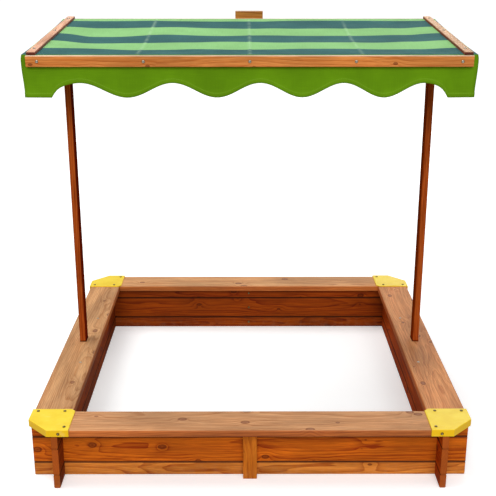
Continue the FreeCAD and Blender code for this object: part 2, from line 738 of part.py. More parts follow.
def makeWing():
    """One flared wing of the nut, in the XZ plane with the hub's axis along Z."""
    body = doc.addObject("PartDesign::Body", "WingBody")
    sketch = makeSketch(body, "WingOutline", "XZ_Plane")
    drawOutline(sketch, [
        ("Sizes.hub_tip_radius - 1.5", "0.6"),
        ("Sizes.hub_radius", "0.6"),
        ("Sizes.wing_reach", "Sizes.wing_tall * 0.6"),
        ("Sizes.wing_reach", "Sizes.wing_tall"),
        ("Sizes.wing_reach - 4", "Sizes.wing_tall"),
        ("Sizes.hub_tip_radius - 1.5", "Sizes.hub_tall"),
    ])
    pad = body.newObject("PartDesign::Pad", "WingPad")
    pad.Profile = sketch
    bind(pad, Length="Sizes.wing_thick")
    pad.Midplane = True
    body.Tip = pad
    doc.recompute()
    return body


hub = doc.addObject("Part::Cone", "Hub")
bind(hub, Radius1="Sizes.hub_radius", Radius2="Sizes.hub_tip_radius", Height="Sizes.hub_tall")
wing = makeWing()
wingNut = doc.addObject("Part::MultiFuse", "WingNut")
wingNut.Shapes = [hub, wing, mirror(wing, acrossX)]
nutBore = makeCylinder("Places.bore_radius", "Sizes.wing_tall + 2", ("0", "0", "-1"), up)
wingNut = subtract(wingNut, nutBore)
for side, sign in (("right", 1), ("left", -1)):
    turned = group([wingNut])
    turned.Placement = Placement(Vector(), Rotation(up, Vector(-sign, 0, 0)))
    bind(turned, Placement__Base__x="%d * Places.nut_face" % sign,
         Placement__Base__z="Sizes.pivot_height")
    keep(side + "_wing_nut", turned)


# ---- check every object, then write each node

doc.recompute()
for item in doc.Objects:
    if "Invalid" in item.State or "Error" in item.State:
        raise SystemExit("failed object: %s (%s)" % (item.Label, item.State))
os.makedirs("parts", exist_ok=True)
for label, piece in nodes.items():
    if piece.Shape.isNull() or not piece.Shape.isValid() or not piece.Shape.Solids:
        raise SystemExit("bad shape: " + label)
for label, piece in nodes.items():
    piece.Shape.exportStep("parts/%s.step" % label)
print("wrote %d nodes" % len(nodes))
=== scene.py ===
import bpy
import bmesh
import math
import random
from mathutils import Matrix, Vector, noise


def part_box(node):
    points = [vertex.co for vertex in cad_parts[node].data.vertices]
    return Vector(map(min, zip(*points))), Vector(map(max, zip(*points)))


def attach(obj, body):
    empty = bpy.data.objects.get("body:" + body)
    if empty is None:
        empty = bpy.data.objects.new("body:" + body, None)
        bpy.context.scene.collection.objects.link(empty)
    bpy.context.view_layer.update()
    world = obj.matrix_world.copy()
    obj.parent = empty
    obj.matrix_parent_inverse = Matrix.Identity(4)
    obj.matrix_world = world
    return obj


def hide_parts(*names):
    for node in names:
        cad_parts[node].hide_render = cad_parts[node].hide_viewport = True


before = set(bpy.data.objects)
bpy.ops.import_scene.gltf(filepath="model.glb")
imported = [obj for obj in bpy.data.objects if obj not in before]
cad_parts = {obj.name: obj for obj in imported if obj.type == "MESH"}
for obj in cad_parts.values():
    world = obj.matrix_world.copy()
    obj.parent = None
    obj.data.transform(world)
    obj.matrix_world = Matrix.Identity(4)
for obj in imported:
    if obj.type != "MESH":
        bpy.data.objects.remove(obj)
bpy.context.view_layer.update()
random.seed(7)
print("sandbox frame loaded:", len(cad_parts), "pieces")


def tone(red, green, blue):
    # display colour 0-255 to the linear colour that shaders use
    def linear(value):
        value /= 255
        return value / 12.92 if value <= 0.04045 else ((value + 0.055) / 1.055) ** 2.4
    return (linear(red), linear(green), linear(blue), 1.0)


def boxMiddle(node):
    low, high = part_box(node)
    return (Vector(low) + Vector(high)) / 2


def middleOf(points):
    return sum(points, Vector()) / len(points)


def outward(point, axis):
    # the unit vector along X or Y that leads away from the middle of the sandbox
    return Vector([math.copysign(1, value) if letter == axis else 0.0
                   for letter, value in zip("XYZ", point)])


def nodeMesh(name):
    return bpy.data.objects[name].data


def extruded(bm, edges):
    # pulls edges out by one row and gives the new edges and vertices
    geom = bmesh.ops.extrude_edge_only(bm, edges=edges)["geom"]
    return ([item for item in geom if isinstance(item, bmesh.types.BMEdge)],
            [item for item in geom if isinstance(item, bmesh.types.BMVert)])


def finishMesh(name, bm, materials, body, replaced):
    mesh = bpy.data.meshes.new(name)
    bm.to_mesh(mesh)
    bm.free()
    piece = bpy.data.objects.new(name, mesh)
    bpy.context.scene.collection.objects.link(piece)
    for material in materials:
        mesh.materials.append(material)
    for face in mesh.polygons:
        face.use_smooth = True
    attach(piece, body)
    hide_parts(*replaced)
    return piece


# node trees: each helper adds a node and gives its output

def newGroup(name, inputs, outputs):
    group = bpy.data.node_groups.new(name, "ShaderNodeTree")
    for label, kind, value in inputs:
        socket = group.interface.new_socket(label, in_out="INPUT", socket_type="NodeSocket" + kind)
        if value is not None:
            socket.default_value = value
    for label, kind in outputs:
        group.interface.new_socket(label, in_out="OUTPUT", socket_type="NodeSocket" + kind)
    return group, group.nodes.new("NodeGroupInput").outputs, group.nodes.new("NodeGroupOutput").inputs


def feed(tree, socket, value):
    if isinstance(value, bpy.types.NodeSocket):
        tree.links.new(value, socket)
    elif value is not None:
        socket.default_value = value


def calc(tree, operation, first, second=None, third=None, clamp=False):
    node = tree.nodes.new("ShaderNodeMath")
    node.operation = operation
    node.use_clamp = clamp
    for socket, value in zip(node.inputs, (first, second, third)):
        feed(tree, socket, value)
    return node.outputs[0]


def vectorCalc(tree, operation, first, second=None, output=0):
    node = tree.nodes.new("ShaderNodeVectorMath")
    node.operation = operation
    feed(tree, node.inputs[0], first)
    feed(tree, node.inputs[1], second)
    return node.outputs[output]


def axesOf(tree, vector):
    node = tree.nodes.new("ShaderNodeSeparateXYZ")
    feed(tree, node.inputs[0], vector)
    return node.outputs


def ramp(tree, value, low, high, toLow=0.0, toHigh=1.0, smooth=True):
    node = tree.nodes.new("ShaderNodeMapRange")
    node.interpolation_type = "SMOOTHSTEP" if smooth else "LINEAR"
    for label, amount in (("Value", value), ("From Min", low), ("From Max", high),
                          ("To Min", toLow), ("To Max", toHigh)):
        feed(tree, node.inputs[label], amount)
    return node.outputs["Result"]


def blendColour(tree, amount, first, second, kind="MIX"):
    node = tree.nodes.new("ShaderNodeMix")
    node.data_type = "RGBA"
    node.blend_type = kind
    feed(tree, node.inputs["Factor"], amount)
    feed(tree, node.inputs[6], first)
    feed(tree, node.inputs[7], second)
    return node.outputs[2]


def noiseAt(tree, vector, scale, detail=2.0, rough=0.5, output="Fac"):
    # scale is one number, or one for each axis where the pattern is stretched
    if isinstance(scale, tuple):
        vector, scale = vectorCalc(tree, "MULTIPLY", vector, scale), 1.0
    node = tree.nodes.new("ShaderNodeTexNoise")
    feed(tree, node.inputs["Vector"], vector)
    for label, value in (("Scale", scale), ("Detail", detail), ("Roughness", rough)):
        node.inputs[label].default_value = value
    return node.outputs[output]


def placeGroup(tree, group, **values):
    node = tree.nodes.new("ShaderNodeGroup")
    node.node_tree = group
    for label, value in values.items():
        feed(tree, node.inputs[label.replace("_", " ")], value)
    return node.outputs


grainLook = {
    "drift": (1.6, 6.0, 6.0),        # how fast the board's lines wander, along and across the grain
    "driftReach": (0.0, 0.035, 0.05),
    "knotSpread": (6.5, 10.0, 0.3),
    "knotLot": (0.1, 0.8, 0.1, 1.0),  # random numbers to sizes, so that few knots are large
    "knotCore": 0.55, "knotRim": 0.45, "usualKnot": 0.06,
    "bendFrom": 0.32, "bendSharp": 2.5, "bendReach": 0.013,
    "uneven": (2.5, 40.0, 40.0), "unevenTurns": 1.6,
    "lateSharp": 3.2, "lateEdge": 0.94,
    "broadStreaks": (2.5, 60.0, 60.0), "broadShare": 0.45,
    "thinStreaks": (6.0, 260.0, 260.0), "thinShare": 0.55,
    "fibres": (22.0, 700.0, 700.0),
}


def makeGrainGroup():
    # growth rings, streaks, fibres and knots of one sawn board, in metres:
    # X runs along the grain, Y across the board, Z through its thickness
    look = grainLook
    group, given, out = newGroup("boardGrain", [
        ("Vector", "Vector", None), ("Ring spacing", "Float", 0.004), ("Knot size", "Float", 0.06),
    ], [("Rings", "Float"), ("Streaks", "Float"), ("Fibres", "Float"), ("Knots", "Float"),
        ("Knot ring", "Float")])
    drift = noiseAt(group, given["Vector"], look["drift"], output="Color")
    drift = vectorCalc(group, "SUBTRACT", drift, (0.5, 0.5, 0.5))
    bent = vectorCalc(group, "ADD", given["Vector"],
                      vectorCalc(group, "MULTIPLY", drift, look["driftReach"]))

    cells = group.nodes.new("ShaderNodeTexVoronoi")
    cells.voronoi_dimensions = "2D"
    cells.inputs["Scale"].default_value = 1.0
    cells.inputs["Randomness"].default_value = 1.0
    feed(group, cells.inputs["Vector"], vectorCalc(group, "MULTIPLY", bent, look["knotSpread"]))
    fromKnot = cells.outputs["Distance"]
    lot = group.nodes.new("ShaderNodeSeparateColor")
    feed(group, lot.inputs[0], cells.outputs["Color"])
    size = calc(group, "MULTIPLY", given["Knot size"], ramp(group, lot.outputs[0], *look["knotLot"]))
    feed(group, out["Knots"], ramp(group, fromKnot, size, calc(group, "MULTIPLY", size, look["knotCore"])))
    offRim = calc(group, "ABSOLUTE", calc(group, "SUBTRACT", fromKnot, size))
    feed(group, out["Knot ring"], ramp(group, offRim, calc(group, "MULTIPLY", size, look["knotRim"]), 0.0))

    # rings are circles round the pith, bent round each knot in turn with its size
    bend = calc(group, "POWER", ramp(group, fromKnot, look["bendFrom"], 0.0, smooth=False), look["bendSharp"])
    bend = calc(group, "MULTIPLY", bend, calc(group, "DIVIDE", size, look["usualKnot"]))
    parts = axesOf(group, bent)
    distance = calc(group, "SQRT", calc(group, "MULTIPLY_ADD", parts[2], parts[2],
                                        calc(group, "MULTIPLY", parts[1], parts[1])))
    distance = calc(group, "MULTIPLY_ADD", bend, look["bendReach"], distance)
    turns = calc(group, "MULTIPLY_ADD", noiseAt(group, bent, look["uneven"]), look["unevenTurns"],
                 calc(group, "DIVIDE", distance, given["Ring spacing"]))
    phase = calc(group, "FRACT", turns)
    feed(group, out["Rings"], calc(group, "MULTIPLY", calc(group, "POWER", phase, look["lateSharp"]),
                                   ramp(group, phase, 1.0, look["lateEdge"])))

    broad = noiseAt(group, bent, look["broadStreaks"])
    thin = noiseAt(group, bent, look["thinStreaks"], 3.0, 0.7)
    feed(group, out["Streaks"], calc(group, "MULTIPLY_ADD", broad, look["broadShare"],
                                     calc(group, "MULTIPLY", thin, look["thinShare"])))
    feed(group, out["Fibres"], noiseAt(group, bent, look["fibres"], 2.0, 0.6))
    return group


stainLook = {
    "streaks": (0.4, 0.62), "streakShare": 0.55, "ringShare": 0.75,
    "middling": (0.3, 0.7), "blotches": (0.8, 1.14), "fibres": (0.8, 1.1),
    "knots": 0.55, "knotRing": 0.8, "endGrain": 0.8,
    "rough": 0.6, "figureRough": -0.08, "fibreRough": 0.16, "knotRough": -0.15, "endRough": 0.15,
    "figureHigh": 0.55, "fibreHigh": 0.5, "knotHigh": 0.5,
}


def makeStainGroup():
    # colours the grain as oil-stained softwood: faces that look up are painted paler as painted light from
    # above, the sides keep the deep stain, edges wear light, end grain goes dark, and the Shade input
    # multiplies in painted shade
    look = stainLook
    group, given, out = newGroup("stainedBoard", [
        ("Rings", "Float", 0.0), ("Streaks", "Float", 0.5), ("Fibres", "Float", 0.5),
        ("Knots", "Float", 0.0), ("Knot ring", "Float", 0.0), ("Wear", "Float", 0.0),
        ("End grain", "Float", 0.0), ("Blotches", "Float", 0.5), ("Bleach", "Float", 0.0),
        ("Shade", "Float", 0.0), ("Early wood", "Color", None), ("Late wood", "Color", None),
        ("Pale wood", "Color", None), ("Pale streak", "Color", None), ("Knot colour", "Color", None),
        ("Worn colour", "Color", None), ("End colour", "Color", None), ("Shade colour", "Color", None),
    ], [("Color", "Color"), ("Roughness", "Float"), ("Height", "Float")])
    figure = calc(group, "MULTIPLY_ADD", ramp(group, given["Streaks"], *look["streaks"]), look["streakShare"],
                  calc(group, "MULTIPLY", given["Rings"], look["ringShare"]), clamp=True)
    deep = blendColour(group, figure, given["Early wood"], given["Late wood"])
    pale = blendColour(group, figure, given["Pale wood"], given["Pale streak"])
    scaled = group.nodes.new("ShaderNodeVectorMath")
    scaled.operation = "SCALE"
    # painted light: faces that look up get the paler colours
    feed(group, scaled.inputs[0], blendColour(group, given["Bleach"], deep, pale))
    feed(group, scaled.inputs["Scale"], calc(
        group, "MULTIPLY", ramp(group, given["Blotches"], *look["middling"], *look["blotches"]),
        ramp(group, given["Fibres"], *look["middling"], *look["fibres"])))
    colour = scaled.outputs[0]
    for mask, amount, other in (("Knots", look["knots"], "Knot colour"),
                                ("Knot ring", look["knotRing"], "Knot colour"),
                                ("End grain", look["endGrain"], "End colour")):
        colour = blendColour(group, calc(group, "MULTIPLY", given[mask], amount), colour, given[other])
    colour = blendColour(group, given["Wear"], colour, given["Worn colour"])
    feed(group, out["Color"], blendColour(group, given["Shade"], colour, given["Shade colour"], "MULTIPLY"))
    rough = calc(group, "MULTIPLY_ADD", figure, look["figureRough"], look["rough"])
    for mask, amount in (("Fibres", look["fibreRough"]), ("Knots", look["knotRough"]),
                         ("End grain", look["endRough"])):
        rough = calc(group, "MULTIPLY_ADD", given[mask], amount, rough)
    feed(group, out["Roughness"], rough)
    height = calc(group, "MULTIPLY_ADD", figure, look["figureHigh"],
                  calc(group, "MULTIPLY", given["Fibres"], look["fibreHigh"]))
    feed(group, out["Height"], calc(group, "MULTIPLY_ADD", given["Knots"], look["knotHigh"], height))
    return group


edgeLook = {"samples": 4, "round": 0.0014, "turn": (0.985, 0.8), "patches": 38.0, "patchEdge": (0.35, 0.65)}


def makeEdgeGroup():
    # mask of a piece's corners and edges, and a normal that rounds them
    group, given, out = newGroup("edgeWear", [("Vector", "Vector", None), ("Patchiness", "Float", 0.5)],
                                 [("Mask", "Float"), ("Normal", "Vector")])
    rounder = group.nodes.new("ShaderNodeBevel")
    rounder.samples = edgeLook["samples"]
    rounder.inputs["Radius"].default_value = edgeLook["round"]
    surface = group.nodes.new("ShaderNodeNewGeometry")
    facing = vectorCalc(group, "DOT_PRODUCT", rounder.outputs[0], surface.outputs["True Normal"],
                        output="Value")
    patches = noiseAt(group, given["Vector"], edgeLook["patches"], 3.0, 0.6)
    spared = calc(group, "MULTIPLY", given["Patchiness"], ramp(group, patches, *edgeLook["patchEdge"]))
    keep = calc(group, "SUBTRACT", 1.0, spared)
    feed(group, out["Mask"], calc(group, "MULTIPLY", ramp(group, facing, *edgeLook["turn"]), keep))
    feed(group, out["Normal"], rounder.outputs[0])
    return group


dustLook = {"specks": 60.0, "speckEdge": (0.4, 0.75), "height": 0.05, "amount": 0.07,
            "colour": tone(206, 184, 150)}


def makeDustGroup():
    # faint dirt and fine sand that settles low on the box, in specks
    group, given, out = newGroup("settledDust", [("Vector", "Vector", None), ("Height", "Float", 0.1)],
                                 [("Mask", "Float")])
    low = ramp(group, axesOf(group, given["Vector"])[2], given["Height"], 0.0)
    speck = ramp(group, noiseAt(group, given["Vector"], dustLook["specks"], 4.0, 0.7), *dustLook["speckEdge"])
    feed(group, out["Mask"], calc(group, "MULTIPLY", low, speck))
    return group


weaveLook = {"threadPitch": 0.0012, "slubLong": 18.0, "slubFine": 900.0, "fade": 6.0}


def makeWeaveGroup():
    # plain weave of crossing threads; the vector holds the flat cloth's place in metres
    group, given, out = newGroup("plainWeave", [
        ("Vector", "Vector", None), ("Thread pitch", "Float", 0.0011),
    ], [("Threads", "Float"), ("Slubs", "Float"), ("Fade", "Float")])
    waves = []
    for part in axesOf(group, given["Vector"])[:2]:
        turn = calc(group, "DIVIDE", part, given["Thread pitch"])
        waves.append(calc(group, "SINE", calc(group, "MULTIPLY", turn, math.pi)))
    feed(group, out["Threads"], calc(group, "ABSOLUTE", calc(group, "MULTIPLY", *waves)))
    long, fine = weaveLook["slubLong"], weaveLook["slubFine"]
    warp = noiseAt(group, given["Vector"], (long, fine, 1.0), 1.0)
    weft = noiseAt(group, given["Vector"], (fine, long, 1.0), 1.0)
    feed(group, out["Slubs"], calc(group, "MULTIPLY", calc(group, "ADD", warp, weft), 0.5))
    feed(group, out["Fade"], noiseAt(group, given["Vector"], weaveLook["fade"], 3.0, 0.6))
    return group


grainGroup = makeGrainGroup()
stainGroup = makeStainGroup()
edgeGroup = makeEdgeGroup()
dustGroup = makeDustGroup()
weaveGroup = makeWeaveGroup()
print("shared effects ready")


def newMaterial(name, **constants):
    material = bpy.data.materials.new(name)
    material.use_nodes = True
    shader = material.node_tree.nodes["Principled BSDF"]
    for label, value in constants.items():
        shader.inputs[label.replace("_", " ")].default_value = value
    return material, material.node_tree, shader


def addBump(tree, shader, height, distance, strength, normal=None):
    bump = tree.nodes.new("ShaderNodeBump")
    bump.inputs["Distance"].default_value = distance
    bump.inputs["Strength"].default_value = strength
    feed(tree, bump.inputs["Height"], height)
    feed(tree, bump.inputs["Normal"], normal)
    tree.links.new(bump.outputs[0], shader.inputs["Normal"])


wallFinish = {
    "early": tone(208, 102, 18), "late": tone(138, 46, 3), "pale": tone(206, 146, 96),
    "paleStreak": tone(180, 112, 66), "knot": tone(84, 24, 6), "worn": tone(214, 128, 54),
    "end": tone(158, 76, 26), "ringSpacing": 0.0048, "knotSize": 0.062, "gloss": 0.1,
}
lowWallFinish = dict(wallFinish, early=tone(224, 136, 54), late=tone(160, 74, 18), worn=tone(226, 156, 88))
seatFinish = dict(wallFinish, early=tone(196, 112, 46), late=tone(152, 72, 22), pale=tone(210, 159, 108),
                  paleStreak=tone(174, 116, 66), knot=tone(104, 44, 20), worn=tone(216, 166, 118), gloss=0.3)
rightSeatFinish = dict(seatFinish, early=tone(208, 109, 43), late=tone(162, 69, 20),
                       pale=tone(222, 154, 100), paleStreak=tone(186, 111, 61))
battenFinish = dict(wallFinish, early=tone(212, 116, 30), late=tone(176, 82, 14), knotSize=0.02)
postFinish = dict(wallFinish, early=tone(176, 84, 30), late=tone(122, 40, 8), knotSize=0.03, gloss=0.0)
canopyFinish = dict(wallFinish, early=tone(226, 144, 74), late=tone(190, 102, 40), pale=tone(226, 200, 178),
                    paleStreak=tone(206, 172, 142), knotSize=0.03)
# the slat's sides (early, late) and its end are painted dark as painted shade, where shade falls beside and
# under it
slatFinish = dict(seatFinish, early=tone(150, 72, 38), late=tone(112, 44, 20), pale=tone(226, 182, 148),
                  paleStreak=tone(200, 146, 108), end=tone(70, 22, 12), knotSize=0.03)
handleFinish = dict(canopyFinish, early=tone(184, 127, 58), late=tone(154, 90, 32))
wallInsideShade = {"front": tone(196, 176, 150), "back": tone(196, 176, 150), "left": tone(196, 176, 150),
              "right": tone(255, 214, 112)}   # painted shade: the faces that look into the sandbox are darkened, the right side's less, as painted light from the left
# painted shade on the posts' inner faces: dark on the left post, lighter on the right post
postInsideShade = {"left": tone(178, 112, 78), "right": tone(222, 190, 132)}
jointShade = {"wide": 0.0042, "sharp": 0.0014, "slot": 0.006, "depth": 0.85, "onEnds": 0.7,
              "colour": tone(78, 38, 22)}
sawing = {
    "alongLog": 20, "offPith": 0.04, "pithBelow": (0.04, 0.075),   # where in the log a board was cut
    "ringVary": (0.75, 1.25), "lightVary": 0.08, "warmVary": 0.06,
    "blotches": (4.0, 16.0, 16.0), "patchiness": 0.6, "wear": 0.3, "bumpHigh": 0.0006, "bump": 0.6,
    "endOn": (0.7, 0.9), "lookingUp": (0.55, 0.9), "onNarrow": (0.3, 0.7), "lookingIn": (0.4, 0.8),
}


def jointShadeMask(tree, name, along, height):
    # painted shade: dark lines where boards meet, where shade falls in the grooves, and a painted contact
    # shadow where a post comes out of its slot in the seat
    low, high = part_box(name)
    if along == "Z":
        seatLow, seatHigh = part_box("left_seat")
        inSlot = calc(tree, "GREATER_THAN", height, seatLow[2])
        return calc(tree, "MULTIPLY", inSlot, ramp(tree, height, seatHigh[2] + jointShade["slot"],
                                                   seatHigh[2]))
    topLine = ramp(tree, height, high[2] - jointShade["wide"], high[2] - jointShade["sharp"])
    if low[2] <= jointShade["wide"]:
        return topLine
    return calc(tree, "MAXIMUM", topLine, ramp(tree, height, low[2] + jointShade["wide"],
                                               low[2] + jointShade["sharp"]))


def stainedWood(name, finish, along, thin, seed, tilt=0.0, insideShade=None):
    # one board's own wood: along is its long axis, thin the axis of its thickness
    pick = random.Random(seed)
    material, tree, shader = newMaterial("wood_" + name, Specular_IOR_Level=finish["gloss"])
    coords = tree.nodes.new("ShaderNodeTexCoord").outputs
    lean = Matrix.Rotation(tilt, 3, "X")
    direction = lean @ Vector([float(axis == along) for axis in "XYZ"])
    through = lean @ Vector([float(axis == thin) for axis in "XYZ"])
    across = through.cross(direction)
    turn = Matrix((direction, across, through))
    middle = boxMiddle(name)
    inLog = Vector((pick.uniform(-sawing["alongLog"], sawing["alongLog"]),
                    pick.uniform(-sawing["offPith"], sawing["offPith"]),
                    pick.uniform(*sawing["pithBelow"]) * pick.choice((-1, 1))))
    mapping = tree.nodes.new("ShaderNodeMapping")
    mapping.inputs["Rotation"].default_value = turn.to_euler()
    mapping.inputs["Location"].default_value = inLog - turn @ middle
    tree.links.new(coords["Object"], mapping.inputs["Vector"])
    grain = placeGroup(tree, grainGroup, Vector=mapping.outputs[0],
                       Ring_spacing=finish["ringSpacing"] * pick.uniform(*sawing["ringVary"]),
                       Knot_size=finish["knotSize"])
    edges = placeGroup(tree, edgeGroup, Vector=coords["Object"], Patchiness=sawing["patchiness"])
    dust = placeGroup(tree, dustGroup, Vector=coords["Object"], Height=dustLook["height"])

    def facing(toward, limits):
        dot = vectorCalc(tree, "DOT_PRODUCT", coords["Normal"], toward, output="Value")
        return ramp(tree, dot, *limits)

    def eitherWay(toward, limits):
        return calc(tree, "MAXIMUM", facing(toward, limits), facing(-toward, limits))

    endOn = eitherWay(direction, sawing["endOn"])
    # painted light: faces that look up are painted paler, standing in for light from above
    toplitShare = facing(lean @ Vector((0, 0, 1)), sawing["lookingUp"])
    broadFace = calc(tree, "SUBTRACT", 1.0, eitherWay(across, sawing["onNarrow"]))
    # painted shade on the faces that look into the sandbox
    shade = facing(-outward(middle, thin), sawing["lookingIn"]) if insideShade else None
    light = 1 + pick.uniform(-sawing["lightVary"], sawing["lightVary"])
    warm = 1 + pick.uniform(-sawing["warmVary"], sawing["warmVary"])

    def own(part):
        red, green, blue, opaque = finish[part]
        return (min(red * light, 1), min(green * light * warm, 1), min(blue * light, 1), opaque)

    stained = placeGroup(
        tree, stainGroup, Rings=grain["Rings"], Streaks=grain["Streaks"], Fibres=grain["Fibres"],
        Knots=calc(tree, "MULTIPLY", grain["Knots"], broadFace),
        Knot_ring=calc(tree, "MULTIPLY", grain["Knot ring"], broadFace),
        Wear=calc(tree, "MULTIPLY", edges["Mask"], sawing["wear"]), End_grain=endOn,
        Blotches=noiseAt(tree, mapping.outputs[0], sawing["blotches"]), Bleach=toplitShare, Shade=shade,
        Early_wood=own("early"), Late_wood=own("late"), Pale_wood=own("pale"),
        Pale_streak=own("paleStreak"), Knot_colour=finish["knot"], Worn_colour=own("worn"),
        End_colour=own("end"), Shade_colour=insideShade)
    colour = blendColour(tree, calc(tree, "MULTIPLY", dust["Mask"], dustLook["amount"]), stained["Color"],
                         dustLook["colour"])
    # painted shade in the grooves between boards and a painted contact shadow round the posts
    if insideShade:
        seamShade = jointShadeMask(tree, name, along, axesOf(tree, coords["Object"])[2])
        onSide = calc(tree, "SUBTRACT", 1.0, calc(tree, "MULTIPLY", endOn, jointShade["onEnds"]))
        seamShade = calc(tree, "MULTIPLY", calc(tree, "MULTIPLY", seamShade, onSide), jointShade["depth"])
        colour = blendColour(tree, seamShade, colour, jointShade["colour"], "MULTIPLY")
    tree.links.new(colour, shader.inputs["Base Color"])
    tree.links.new(stained["Roughness"], shader.inputs["Roughness"])
    addBump(tree, shader, stained["Height"], sawing["bumpHigh"], sawing["bump"], edges["Normal"])
    return material


capLook = {
    # side is a painted shade: the skirt and chamfers are a deeper yellow where less light falls
    "top": tone(238, 209, 54), "deep": tone(232, 198, 38), "side": tone(236, 188, 10),
    "scuff": tone(255, 244, 190), "edge": tone(255, 240, 120), "rough": 0.42, "gloss": 0.3,
    "clouds": 22.0, "cloudEdge": (0.35, 0.7), "shadedSideFrom": (0.9, 0.3), "patchiness": 0.3, "edgeShare": 0.25,
    "scuffs": (40.0, 300.0, 40.0), "scuffEdge": (0.58, 0.72), "scuffShare": 0.12, "scuffRough": 0.18,
    "skin": 900.0, "skinHigh": 0.0002, "skinBump": 0.25,
}


def capPlastic():
    look = capLook
    material, tree, shader = newMaterial("yellowPlastic", Specular_IOR_Level=look["gloss"])
    whole = tree.nodes.new("ShaderNodeTexCoord").outputs
    coords = whole["Object"]
    edges = placeGroup(tree, edgeGroup, Vector=coords, Patchiness=look["patchiness"])
    clouds = ramp(tree, noiseAt(tree, coords, look["clouds"], 3.0), *look["cloudEdge"])
    scuffs = ramp(tree, noiseAt(tree, coords, look["scuffs"]), *look["scuffEdge"])
    upright = vectorCalc(tree, "DOT_PRODUCT", whole["Normal"], (0.0, 0.0, 1.0), output="Value")
    colour = blendColour(tree, clouds, look["top"], look["deep"])
    # painted shade: faces that turn away from up take the deeper side yellow
    colour = blendColour(tree, ramp(tree, upright, *look["shadedSideFrom"]), colour, look["side"])
    colour = blendColour(tree, calc(tree, "MULTIPLY", scuffs, look["scuffShare"]), colour, look["scuff"])
    colour = blendColour(tree, calc(tree, "MULTIPLY", edges["Mask"], look["edgeShare"]), colour, look["edge"])
    tree.links.new(colour, shader.inputs["Base Color"])
    rough = calc(tree, "MULTIPLY_ADD", scuffs, look["scuffRough"], look["rough"])
    tree.links.new(rough, shader.inputs["Roughness"])
    addBump(tree, shader, noiseAt(tree, coords, look["skin"]), look["skinHigh"], look["skinBump"],
            edges["Normal"])
    return material


steelLook = {
    "bright": (tone(148, 143, 130), tone(180, 175, 160)), "dull": (tone(98, 80, 38), tone(130, 108, 58)),
    "edge": tone(202, 197, 180), "edgeShare": 0.5, "patchiness": 0.2, "spangle": 420.0,
    "spangleEdge": (0.3, 0.7), "rough": (0.28, 0.46), "bumpHigh": 0.0001, "bump": 0.3,
}


def zincSteel(name, tones):
    look = steelLook
    material, tree, shader = newMaterial(name, Metallic=1.0)
    coords = tree.nodes.new("ShaderNodeTexCoord").outputs["Object"]
    spangle = noiseAt(tree, coords, look["spangle"], 3.0)
    edges = placeGroup(tree, edgeGroup, Vector=coords, Patchiness=look["patchiness"])
    colour = blendColour(tree, ramp(tree, spangle, *look["spangleEdge"]), *tones)
    colour = blendColour(tree, calc(tree, "MULTIPLY", edges["Mask"], look["edgeShare"]), colour, look["edge"])
    tree.links.new(colour, shader.inputs["Base Color"])
    tree.links.new(ramp(tree, spangle, *look["spangleEdge"], *look["rough"]), shader.inputs["Roughness"])
    addBump(tree, shader, spangle, look["bumpHigh"], look["bump"], edges["Normal"])
    return material


clothLook = {
    "rough": 0.85, "gloss": 0.12, "fadeEdge": (0.3, 0.7), "slubEdge": (0.35, 0.65), "slubHigh": 0.8,
    "bumpHigh": 0.0003, "bump": 0.35,
}
stripeLook = {
    "pitch": 0.110, "firstEdge": -0.195, "softEdge": 0.0016, "waver": 900.0, "waverReach": 0.0008,
    "light": tone(141, 195, 126), "lightLow": tone(132, 184, 117),
    "dark": tone(58, 105, 103), "darkLow": tone(51, 93, 93),
    # crease is a painted highlight along the packing folds, broken into patches
    "crease": tone(206, 236, 200), "creaseHighlightShare": 0.2, "highlightBreaks": 30.0, "highlightBreakEdge": (0.35, 0.65, 0.35, 1.0),
    "slub": tone(30, 60, 50), "slubShare": 0.14,
}
valanceLook = {
    "green": tone(100, 146, 5), "deep": tone(88, 130, 2), "hem": tone(120, 160, 30), "hemShare": 0.05,
    "hemLine": (0.0135, 0.0122), "slub": tone(40, 60, 10), "slubShare": 0.12,
    "stitch": tone(128, 170, 48), "stitchShare": 0.45, "stitchHigh": 2.5, "stitchAt": 0.0105,
    "stitchPitch": 0.0042, "stitchWide": (0.0011, 0.0005), "stitchLong": (0.38, 0.3),
}


def clothShader(name):
    material, tree, shader = newMaterial(name, Roughness=clothLook["rough"],
                                         Specular_IOR_Level=clothLook["gloss"])
    flat = tree.nodes.new("ShaderNodeUVMap")
    flat.uv_map = "flatCloth"
    weave = placeGroup(tree, weaveGroup, Vector=flat.outputs[0], Thread_pitch=weaveLook["threadPitch"])
    return material, tree, shader, flat.outputs[0], weave


def addSlubs(tree, weave, colour, look):
    # thicker threads, a little darker than the rest
    slubs = ramp(tree, weave["Slubs"], *clothLook["slubEdge"], 0.0, look["slubShare"])
    return blendColour(tree, slubs, colour, look["slub"], "MULTIPLY")


def stitchMask(tree, alongHem, fromEdge):
    # dashes of thread in a row beside the hem
    offRow = calc(tree, "ABSOLUTE", calc(tree, "SUBTRACT", fromEdge, valanceLook["stitchAt"]))
    dash = calc(tree, "FRACT", calc(tree, "DIVIDE", alongHem, valanceLook["stitchPitch"]))
    offDash = calc(tree, "ABSOLUTE", calc(tree, "SUBTRACT", dash, 0.5))
    return calc(tree, "MULTIPLY", ramp(tree, offRow, *valanceLook["stitchWide"]),
                ramp(tree, offDash, *valanceLook["stitchLong"]))


